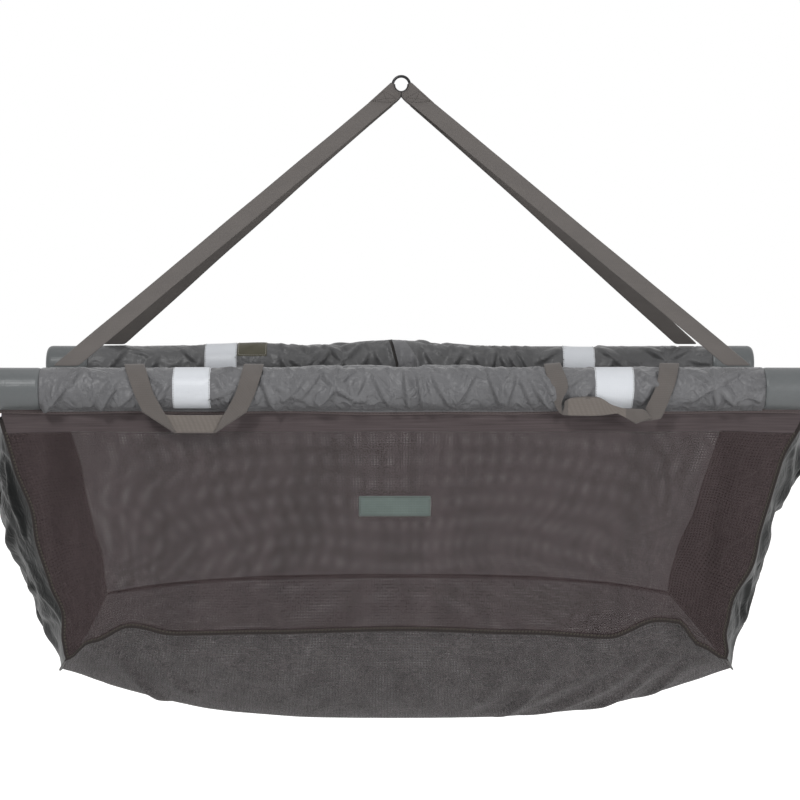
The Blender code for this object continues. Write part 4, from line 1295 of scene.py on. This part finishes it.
def gussetPoint(hand, across, down):
    share = 2 * across - 1
    seam = Vector((sideOut(bag["gussetTop"], share, hand), -bag["gussetTop"]))
    seam = seam.lerp(Vector((sideOut(bag["cornerDepth"], share, hand), -bag["cornerDepth"])), down)
    seam.x -= (seamWave(down, -1, hand) * (1 - share) + seamWave(down, 1, hand) * (1 + share)) / 2
    middle = Vector((bag["gussetOut"], -bag["gussetDepth"])).lerp(
        Vector((bag["gussetFootOut"][hand], -bag["gussetFoot"])), down)
    middle.x += betweenValues(bag["gussetBulge"][hand], down)
    point = seam.lerp(middle, 1 - share ** 2)
    free = (1 - share ** 4) * min(1, 12 * down * (1 - down))
    free *= calmMiddle(hand, abs(share) / 0.4)
    crumple = noise.noise(Vector((hand * 4.2, share * 2.2 + hand, down * 6.5)))
    crumple += 0.5 * noise.noise(Vector((hand * 9.2, share * 4.4 - down * 2, down * 11)))
    crumple += 0.35 * noise.noise(Vector((hand * 5.2, share * 9 + down * 6, down * 19)))
    point.x += bag["crumple"] * crumple * free
    return Vector((hand * point.x, share * sling["tubeOut"], sling["tubeHeight"] + point.y))


# Folds in the floor, from above: (along, across) in millimetres from the middle, then their height in metres
floorFolds = [
    ((340, -215), (170, -60), 0.0090), ((300, -218), (120, -90), 0.0060), ((214, -218), (128, -70), 0.0092),
    ((161, -218), (98, -120), 0.0070), ((372, -200), (250, -60), 0.0080), ((398, -190), (330, -40), 0.0070),
    ((-392, -210), (-330, -70), 0.0096), ((-350, -215), (-290, -130), 0.0064),
    ((-300, -218), (-150, -170), 0.0050),
    ((60, -215), (20, -100), 0.0046), ((-60, -215), (-110, -110), 0.0046),
    ((-200, -205), (-60, -150), 0.0044),
    ((390, 205), (240, 60), 0.0046),
    ((-400, 200), (-270, 50), 0.0046), ((-200, 215), (-120, 90), 0.0036), ((150, 215), (60, 80), 0.0036),
    ((-420, -60), (-300, -10), 0.0040), ((410, 60), (300, 10), 0.0040),
]
floorFolds = [((x0 / 1000, y0 / 1000), (x1 / 1000, y1 / 1000), height)
              for (x0, y0), (x1, y1), height in floorFolds]


def floorPoint(along, across):
    share, cross = 2 * along - 1, 2 * across - 1
    hand = -1 if share < 0 else 1
    corner = sideOut(bag["cornerDepth"], cross, hand)
    end = corner + (bag["gussetFootOut"][hand] - corner) * (1 - cross ** 2)
    keel = -bag["keelDepth"] + (bag["keelDepth"] - bag["gussetFoot"]) * abs(share) ** bag["keelPower"]
    seam = -(footDepth(-1, share) * (1 - across) + footDepth(1, share) * across)
    up = seam + (keel - seam) * (1 - cross ** 2)
    free = (1 - cross ** 4) * (1 - share ** 6) * min(1, 1.6 * abs(cross))
    slant = abs(share) * 9 + cross * 2.4  # long shallow folds run from the corners to the keel
    up += bag["floorWave"] * free * math.sin(slant * 2.4) * min(1, 2.2 * abs(share)) ** 2
    return Vector((share * end, cross * sling["tubeOut"], sling["tubeHeight"] + up))


def markAll(piece, group, weight):
    made = piece.vertex_groups.new(name=group)
    made.add(range(len(piece.data.vertices)), weight, "REPLACE")


def heldTo(kind, y):
    # How far under the tube's axis a part is held still while the bag settles; the floor isn't
    if kind == "panel":
        return bag["gussetTop"]
    if kind == "floor":
        return 0
    across = abs(y) / sling["tubeOut"]
    dip = (bag["gussetDepth"] - bag["gussetTop"]) * (1 - across ** 2)
    return bag["gussetTop"] + dip + bag["sewnGusset"]


bagParts = {}
for sideName, side in sides.items():
    name = sideName + "_mesh_wall"
    bagParts[name] = (newSheet(name, bag["along"], bag["down"] + 1, (1.0, 0.33),
                               lambda along, down: panelPoint(side, along, down)), "panel")
for handName, hand in hands.items():
    name = "gusset_cloth_" + handName
    bagParts[name] = (newSheet(name, bag["across"], bag["down"], (0.53, 0.33),
                               lambda across, down: gussetPoint(hand, across, down)), "gusset")
name = "mesh_floor"
bagParts[name] = (newSheet(name, bag["along"], bag["across"], (0.93, 0.57), floorPoint), "floor")

# Seams are kept as lists of places, and found again once the cloth has hung
seams = {}
for sideName, side in sides.items():
    line = [panelPoint(side, 0, k / (bag["down"] + 1)) for k in range(1, bag["down"] + 2)]
    line += [panelPoint(side, k / bag["along"], 1) for k in range(1, bag["along"])]
    line += [panelPoint(side, 1, k / (bag["down"] + 1)) for k in range(bag["down"] + 1, 0, -1)]
    seams[sideName] = line
for handName, hand in hands.items():
    seams["foot_" + handName] = [gussetPoint(hand, k / bag["across"], 1) for k in range(bag["across"] + 1)]
    seams["top_" + handName] = [gussetPoint(hand, k / bag["across"], 0) for k in range(bag["across"] + 1)]

for name, (piece, kind) in bagParts.items():
    markAll(piece, "slack", bag["slack"][kind])
    held = piece.vertex_groups.new(name="held")
    for vertex in piece.data.vertices:
        fixed = sling["tubeHeight"] - vertex.co.z < heldTo(kind, vertex.co.y)
        held.add([vertex.index], 1 if fixed else bag["soft"][kind], "REPLACE")
    piece.data.materials.append(bpy.data.materials.new(name))  # tells the parts apart once they are joined

bpy.ops.object.select_all(action="DESELECT")
for piece, kind in bagParts.values():
    piece.select_set(True)
hung = bagParts["mesh_floor"][0]
bpy.context.view_layer.objects.active = hung
bpy.ops.object.join()
edit(hung, lambda: bpy.ops.mesh.remove_doubles(threshold=bag["weld"]))
start = [vertex.co.copy() for vertex in hung.data.vertices]
finder = KDTree(len(start))
for index, place in enumerate(start):
    finder.insert(place, index)
finder.balance()
seamPoints = {name: [finder.find(place)[1] for place in line] for name, line in seams.items()}
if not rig.quick():
    runCloth(hung, bag["cloth"])
    for vertex, place in zip(hung.data.vertices, start):
        move = vertex.co - place
        if move.length > bag["moveCap"]:
            vertex.co = place + move.normalized() * bag["moveCap"]
for name, line in seamPoints.items():
    seamPoints[name] = [hung.data.vertices[index].co.copy() for index in line]
edit(hung, lambda: bpy.ops.mesh.separate(type="MATERIAL"))
found = [piece for piece in bpy.context.scene.objects if piece.name.startswith("mesh_floor")]
parts = {}
for piece in found:
    parts[piece.data.materials[piece.data.polygons[0].material_index].name] = piece
print("bag hung")

# The gussets are crumpled all over: crossing folds, each (across, down) in metres, with its height
clothFold = {
    "steep": 0.0070, "gentle": 0.0260, "length": (0.025, 0.110), "rise": (0.0040, 0.0115), "turn": (8, 82),
    "count": 46, "step": 0.618034, "wide": 0.44, "top": 0.075, "tall": 0.30, "stray": 0.03,
    "sunk": 0.0022, "calmWidth": 0.09, "floorRise": 1.25, "floorHalf": 0.47, "floorKeel": (0.045, 0.05),
}


def gussetFolds(hand):
    folds = []
    for k in range(clothFold["count"]):
        pick = [noise.noise(Vector((k * 7.31 + hand * 50, step * 3.7, 0.5))) + 0.5 for step in range(5)]
        pick = [min(max(value, 0), 1) for value in pick]
        across = (k * clothFold["step"] % 1 - 0.5) * clothFold["wide"]
        up = -clothFold["top"] - (k + 0.5) / clothFold["count"] * clothFold["tall"]
        up -= clothFold["stray"] * (pick[3] - 0.5)
        long = between(clothFold["length"], pick[0])
        turn = math.radians(between(clothFold["turn"], pick[1])) * (-1) ** k
        reach = (math.cos(turn) * long / 2, math.sin(turn) * long / 2)
        folds.append(((across - reach[0], up - reach[1]), (across + reach[0], up + reach[1]),
                      between(clothFold["rise"], pick[2])))
    return folds


for name in ("gusset_cloth_left", "gusset_cloth_right", "mesh_floor"):
    piece = parts[name]
    addModifier(piece, "SUBSURF", levels=1, render_levels=1, boundary_smooth="PRESERVE_CORNERS")
    piece.vertex_groups.clear()
    applyModifiers(piece)
    hand = -1 if name.endswith("left") else 1
    folds = floorFolds if name == "mesh_floor" else gussetFolds(hand)
    for vertex in piece.data.vertices:
        x, y, z = vertex.co
        edge = min(1, 7 * (1 - abs(y) / sling["tubeOut"]))
        if name == "mesh_floor":
            keel, ease = clothFold["floorKeel"]
            edge *= max(0, min(1, 12 * (1 - abs(x) / clothFold["floorHalf"]), (abs(y) - keel) / ease))
            vertex.co.z -= foldLift((x, y), folds, clothFold) * edge * clothFold["floorRise"]
        else:
            down = (sling["tubeHeight"] - z - bag["gussetTop"]) / (bag["gussetFoot"] - bag["gussetTop"])
            edge *= max(0, min(1, 7 * down, 8 * (0.86 + 0.14 * (1 - (y / sling["tubeOut"]) ** 2) - down)))
            edge *= calmMiddle(hand, abs(y) / clothFold["calmWidth"])
            lift = foldLift((y, z - sling["tubeHeight"]), folds, clothFold)
            vertex.co.x += hand * (lift - clothFold["sunk"]) * edge

bagSquash = ("front_swing", (0, 1, 0), (0, 0, 0), 0.147)
bagFinish = {
    "front_mesh_wall": (fishMesh, "front_side", "mesh", ["front_mesh_panel"]),
    "back_mesh_wall": (fishMesh, "back_side", "mesh", ["back_mesh_panel"]),
    "gusset_cloth_left": (gussetNylon, "bag", "gusset_nylon", ["gusset_left"]),
    "gusset_cloth_right": (gussetNylon, "bag", "gusset_nylon", ["gusset_right"]),
    "mesh_floor": (paintedLightFloorMesh, "bag", "mesh", ["base_mesh"]),
}
for name, piece in parts.items():
    material, body, slotName, nodes = bagFinish[name]
    piece.name = name
    piece.vertex_groups.clear()
    finishPiece(piece, material, body, slotName, nodes, bag["thickness"], 0)
wallTree = surfaceOf(parts["front_mesh_wall"])

tape = {"wide": 0.0086, "thick": 0.0024, "reach": 0.449, "cornerFrom": 0.90, "turnBy": 0.5,
        "rows": (-0.0007, 0.0007)}
for sideName, side in sides.items():
    line = seamPoints[sideName]
    turnAt = (bag["down"], bag["down"] + bag["along"])

    def outFrom(k):
        x = max(-1, min(1, line[k].x / tape["reach"]))
        down = Vector((0, side * 0.55, -0.8))
        sideways = Vector((math.copysign(0.75, x), side * 0.65, 0))
        if turnAt[0] <= k <= turnAt[1]:
            near = max(0, (abs(x) - tape["cornerFrom"]) / (1 - tape["cornerFrom"]))
            return down.lerp(sideways, near * tape["turnBy"])
        return sideways

    layCord(sideName + "_seam_tape", line, outFrom, bindingTape, sideName + "_side",
            (tape["wide"], tape["thick"]), "binding", [sideName + "_seam_binding"], around=12)
    # Two olive rows of thread hold it, seen along the foot and the ends
    rows = []
    for shift in tape["rows"]:
        row = []
        for k in range(2, len(line) - 2):
            ahead = (line[k + 1] - line[k - 1]).normalized()
            wide = outFrom(k)
            wide = (wide - ahead * wide.dot(ahead)).normalized()
            face = ahead.cross(wide)
            face = face if face.y * side > 0 else -face
            row.append(line[k] + wide * shift + face * (tape["thick"] / 2 + stitch["lift"]))
        rows.append(row)
    sewLines(sideName + "_seam_stitches", rows, thread["olive"], sideName + "_side",
             0.0034, 0.0012, 0.0004, "binding")
for handName, hand in hands.items():
    name = "base_tape_" + handName
    parts[name] = layCord(name, seamPoints["foot_" + handName], (hand * 0.7, 0, -0.7), bindingTape, "bag",
                          (tape["wide"], tape["thick"]), "binding", ["base_binding_" + handName], around=12)
    name = "gusset_rolled_hem_" + handName
    parts[name] = layCord(name, seamPoints["top_" + handName], (0, 0, 1), gussetNylon, "bag", (0.009, 0.004),
                          "gusset_nylon", ["gusset_hem_" + handName], around=12, squareness=0.8)
for name, piece in parts.items():
    if piece["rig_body"] == "bag":
        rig.squash(piece, *bagSquash)
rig.sheet(parts["front_mesh_wall"], (1.06, 0.335), "hung", ["front_sleeve"], 0.285)
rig.sheet(parts["back_mesh_wall"], (1.06, 0.335), "hung", ["back_sleeve"], 0.300)
for handName in hands:
    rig.sheet(parts["gusset_cloth_" + handName], (0.57, 0.37), "gathered",
             ["front_mesh_wall", "back_mesh_wall"], 0.184)
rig.sheet(parts["mesh_floor"], (0.96, 0.61), "hung", ["front_mesh_wall", "back_mesh_wall"], 0.542)
print("bag pieces made")

label = {
    "centre": (-0.010, -0.156), "size": (0.095, 0.027), "lift": 0.0006, "wave": 0.0004, "thickness": 0.0010,
    "seam": ((0.02, 0.07), (0.98, 0.07), (0.98, 0.93), (0.02, 0.93), (0.02, 0.07)), "seamSteps": 24,
    "seamOut": (0, 0.0006, 0),
}


def labelPoint(across, up):
    x = label["centre"][0] + (across - 0.5) * label["size"][0]
    z = sling["tubeHeight"] + label["centre"][1] + (up - 0.5) * label["size"][1]
    hit = wallTree.ray_cast(Vector((x, -0.4, z)), Vector((0, 1, 0)), 0.3)[0]
    wave = math.sin(across * 7) * math.sin(math.pi * up)
    return hit - Vector((0, label["lift"] + label["wave"] * wave, 0))


piece = newSheet("woven_label_bare", 32, 10, label["size"], labelPoint)
finishPiece(piece, bareLabel, "front_side", "label", ["front_label"], label["thickness"], 0)
lines = sewOutline(label["seam"], label["seamSteps"],
                   lambda across, up: labelPoint(across, up) - Vector(label["seamOut"]))
sewLines("label_stitches", lines, thread["dark"], "front_side", 0.0024, 0.0012, 0.0003, "label")
print("label made")


# Handles: each one strip of webbing, sewn down on the tube's top, hanging over its outer side
# A station holds both edges of the strip, in millimetres: (across, up, out from the tube's axis) twice

foldedHalf = [
    (-90.6, 27.5, -8, -64.6, 27.5, -8), (-91.6, 31.4, -3, -65.2, 31.6, -3),
    (-91.8, 31.8, 4, -65.2, 32.2, 4),
    (-91, 28.4, 12, -64.4, 29, 11.6), (-89, 20.5, 23, -61.8, 21, 22.5),
    (-85, 8.5, 29.4, -58.5, 9, 29.4), (-80.5, -5, 31, -53.5, -6, 31.2), (-75.5, -17, 31.4, -44, -24, 31.8),
    (-71.8, -24.5, 31.8, -32.5, -44.5, 32.4), (-70.2, -28.2, 31.8, -26.4, -56.4, 32.4),
    (-69.6, -29.6, 30.7, -25.2, -59.0, 31.1), (-68.6, -29.9, 29.7, -24.8, -58.9, 30.0),
    (-60, -31.6, 29.4, -22, -58.7, 29.7), (-36, -34.2, 29.2, -13, -58.6, 29.4),
]
foldedHandle = foldedHalf + [(0, -34.7, 29.0, 0, -58.5, 29.2)] + [
    (-a[0], *a[1:3], -a[3], *a[4:6]) for a in foldedHalf[::-1]]
twistedHandle = [
    (-86.5, 27.5, -8, -64.5, 28, -8), (-87.6, 31.4, -3, -65.8, 33, -3),
    (-87.8, 31.8, 4, -65.8, 33.8, 4),
    (-87.2, 28.6, 12, -64.6, 31, 11), (-85.8, 22.5, 20, -62.6, 25.5, 18.5),
    (-83.6, 15, 26.4, -59.3, 18.5, 24.5),
    (-81.8, 6, 30.4, -56.4, 9.7, 30), (-80.2, -1, 31, -55.4, 2.5, 32), (-77.6, -9, 31, -57.2, -3.5, 34),
    (-74.6, -17.5, 30.6, -60.8, -10, 35.5),
    (-71, -26, 30.2, -63.6, -17, 35.5), (-67, -31.6, 30, -64.2, -24, 34),
    (-62, -34.8, 30, -62.8, -30.8, 32.4), (-59, -35.4, 30.4, -60.4, -24, 33.6),
    (-56.5, -35.6, 30.4, -59.4, -16.2, 34),
    (-48, -36, 30.2, -48, -11.4, 33.4), (-26, -36.4, 29.8, -26, -10.2, 32),
    (-12, -35.8, 29.6, -12.5, -12.2, 31.6),
    (-2, -34.6, 29.8, 1, -20.6, 32), (5, -33.6, 30.2, 13, -24.8, 32.4), (9.5, -33.2, 31.4, 21, -26.4, 33.6),
    (12, -34.4, 33.6, 28, -26.4, 34.8), (17, -37, 35, 36.5, -26.8, 35.6), (24, -41, 35.8, 45, -28, 35.8),
    (32, -45.6, 35.6, 53.2, -36.8, 35.6), (33.6, -46.3, 34.6, 54.6, -38.2, 34.6),
    (33.8, -45.6, 32.4, 54.2, -37.8, 32.4),
    (40, -44.2, 31.4, 52, -34.6, 31.4), (50, -42.6, 30.8, 49, -30.6, 30.8),
    (60, -41.2, 30.6, 46.5, -27.8, 30.6),
    (67.4, -39.4, 30.6, 46.8, -25.2, 30.8), (71.6, -31, 30.8, 49.4, -19.6, 31),
    (76, -21, 31.2, 53, -12.6, 31.4),
    (80.8, -8, 31.2, 57.6, -3, 31.2), (84.8, 3, 30.7, 60.6, 7, 30.2), (87.6, 13.7, 27, 62.8, 16.3, 26),
    (89.4, 23.5, 19, 63.6, 25, 17.6), (90.4, 30, 10, 64.2, 30.6, 9), (90.8, 33, 3, 64.6, 33.2, 3),
    (90.8, 31.4, -4, 64.8, 31.6, -4), (90, 27.5, -8, 64.6, 27.5, -8),
]
handle = {
    "front": 0.274, "back": 0.262, "steps": 5, "columns": 8, "width": 0.025, "thickness": 0.0014,
    "tabTurn": {"front": 84, "back": 31}, "backTurns": (44, 41, 37, 33, 27), "backRadius": 31.5, "drift": 1.6,
    "bend": {"front": ((0.001, 0.030), (0.014, 0.030)), "back": ((0.031, 0.0215), (0.031, -0.030))},
    "eyeDistance": 2700, "eyeHeight": -0.2,  # what stands out was read off larger, so it is drawn in
    "ribbedUnder": -0.010, "ribbedHalf": 0.058, "ribbedIn": 0.0303, "ribbedTwist": (-0.0615, 0.017),
}
tab = {
    "out": 0.0764, "size": (0.0265, 0.008), "turn": 14, "lift": 0.0007, "seamLift": 0.0022,
    "thickness": 0.0014, "seamSteps": 8,
    "seam": ((0.08, 0.12), (0.92, 0.12), (0.92, 0.88), (0.08, 0.88), (0.08, 0.12), (0.92, 0.88)),
}


def layRibbon(name, stations, steps, columns, width):
    # A strip between two edges; its weave is laid out along each edge's real length
    count = (len(stations) - 1) * steps
    edges = []
    for which in (0, 1):
        points = [station[which] for station in stations]
        edges.append([alongLine(points, k / count) for k in range(count + 1)])
    reach = []
    for edge in edges:
        walked = [0.0]
        for first, second in zip(edge, edge[1:]):
            walked.append(walked[-1] + (second - first).length)
        reach.append(walked)

    def place(across, along):
        k = min(round(along * count), count)
        return edges[0][k].lerp(edges[1][k], across)

    piece = newSheet(name, columns, count, (1, 1), place)
    for corner in piece.data.uv_layers.active.data:
        across, k = corner.uv.x, min(round(corner.uv.y * count), count)
        corner.uv = (across * width, reach[0][k] + (reach[1][k] - reach[0][k]) * across)
    return piece


for sideName, side in sides.items():
    for handName, hand in hands.items():
        twisted = side < 0 and hand > 0
        centre = Vector((hand * handle[sideName], side * sling["tubeOut"], sling["tubeHeight"]))
        wobble = 0 if side < 0 else handle["drift"]
        stations = []
        for k, (xa, za, ya, xb, zb, yb) in enumerate(twistedHandle if twisted else foldedHandle):
            drift = wobble * noise.noise(Vector((k * 0.4, hand * 5, 2))) if za < 0 else 0
            ends = []
            for x, up, out in ((xa, za, ya), (xb, zb, yb)):
                fromEnd = min(k, len(foldedHandle) - 1 - k)
                if side > 0 and fromEnd < len(handle["backTurns"]):
                    turn = math.radians(handle["backTurns"][fromEnd])
                    up, out = handle["backRadius"] * math.sin(turn), handle["backRadius"] * math.cos(turn)
                near = out / handle["eyeDistance"]
                place = centre + Vector((x + drift, side * out, up)) / 1000
                place.x *= 1 - near
                place.z += near * (handle["eyeHeight"] - place.z)
                ends.append(place)
            stations.append(ends)
        body = "{}_handle_{}".format(sideName, handName)
        piece = layRibbon(body + "_webbing", stations, handle["steps"], handle["columns"], handle["width"])
        finishPiece(piece, handleWebbing, None, "webbing", [body], handle["thickness"], 0)
        piece.data.materials.append(ribbedWebbing)
        for face in piece.data.polygons:
            where = face.center - centre
            if twisted:
                turned = handle["ribbedTwist"][0] < where.x < handle["ribbedTwist"][1]
            else:
                turned = side * where.y < handle["ribbedIn"]
            if turned and where.z < handle["ribbedUnder"] and abs(where.x) < handle["ribbedHalf"]:
                face.material_index = 1
        # Its sewn ends stay on the tube while the rest lifts
        ends = []
        for out, up in handle["bend"][sideName]:
            ends.append((centre.x, centre.y + side * out, centre.z + up))
        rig.blend(piece, sideName + "_side", body, *ends)
        # Sewn ends, one behind the crest under each leg
        tree = sleeveTrees[sideName]
        for end, ending in ((-1, "inner"), (1, "outer")):
            middle = centre.x + hand * end * tab["out"]
            node = "{}_handle_tab_{}_{}".format(sideName, handName, ending)

            def tabPoint(across, along, lift=tab["lift"]):
                x = middle + (across - 0.5) * tab["size"][0]
                return onSurface(tree, side, x, handle["tabTurn"][sideName] + tab["turn"] * along, lift)

            piece = newSheet(node + "_webbing", 8, 6, tab["size"], tabPoint)
            if side < 0:
                edit(piece, bpy.ops.mesh.flip_normals)
            finishPiece(piece, greyWebbing, sideName + "_side", "webbing", [node], tab["thickness"], 1)
            lines = sewOutline(tab["seam"], tab["seamSteps"],
                               lambda across, along: tabPoint(across, along, tab["seamLift"]))
            sewLines("{}_tab_{}_{}_stitches".format(sideName, handName, ending), lines,
                     thread["dark"], sideName + "_side", 0.0020, 0.0010, 0.0003, "webbing")
print("handles made")

# Anchors: webbing sewn round the foam under each leg, its two ends meeting in the slot where the leg comes in

anchor = {
    "radius": 0.0259, "half": 0.0125, "size": (0.025, 0.163), "rise": 0.0012, "riseShare": 0.03,
    "thickness": 0.0011, "layer": 0.0008,
}


def anchorPoint(side, hand, across, along):
    x = hand * (sling["legFoot"][0] + (2 * across - 1) * anchor["half"])
    turn = 90 + 360 * along
    ending = 1 - min(1, min(along, 1 - along) / anchor["riseShare"])
    point = onTube(side, x, turn, anchor["radius"] + anchor["rise"] * ending ** 2)
    point.y += side * (-1 if along < 0.5 else 1) * anchor["layer"] * ending
    return point


for sideName, side in sides.items():
    for handName, hand in hands.items():
        piece = newSheet("{}_anchor_{}_webbing".format(sideName, handName), 6, 72, anchor["size"],
                         lambda across, along: anchorPoint(side, hand, across, along))
        finishPiece(piece, greyWebbing, sideName + "_side", "webbing",
                    ["{}_strap_anchor_{}".format(sideName, handName)], anchor["thickness"], 0)
print("anchors made")

# What the CAD part carries over
for names, material in (
    (["front_bar_left", "front_bar_right", "back_bar_left", "back_bar_right", "front_bar_left_spigot",
      "back_bar_left_spigot"], drawnAluminium),
    (["front_bar_left_plug", "front_bar_right_plug", "back_bar_left_plug", "back_bar_right_plug"],
     mouldedPlastic),
    (["front_float", "back_float"], cellFoam),
):
    for name in names:
        frame["nodes"][name].data.materials.clear()
        frame["nodes"][name].data.materials.append(material)

newBox = [list(corner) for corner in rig.bounds()]
json.dump({"cad": cadBox, "visual": newBox}, open("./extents.json", "w"))
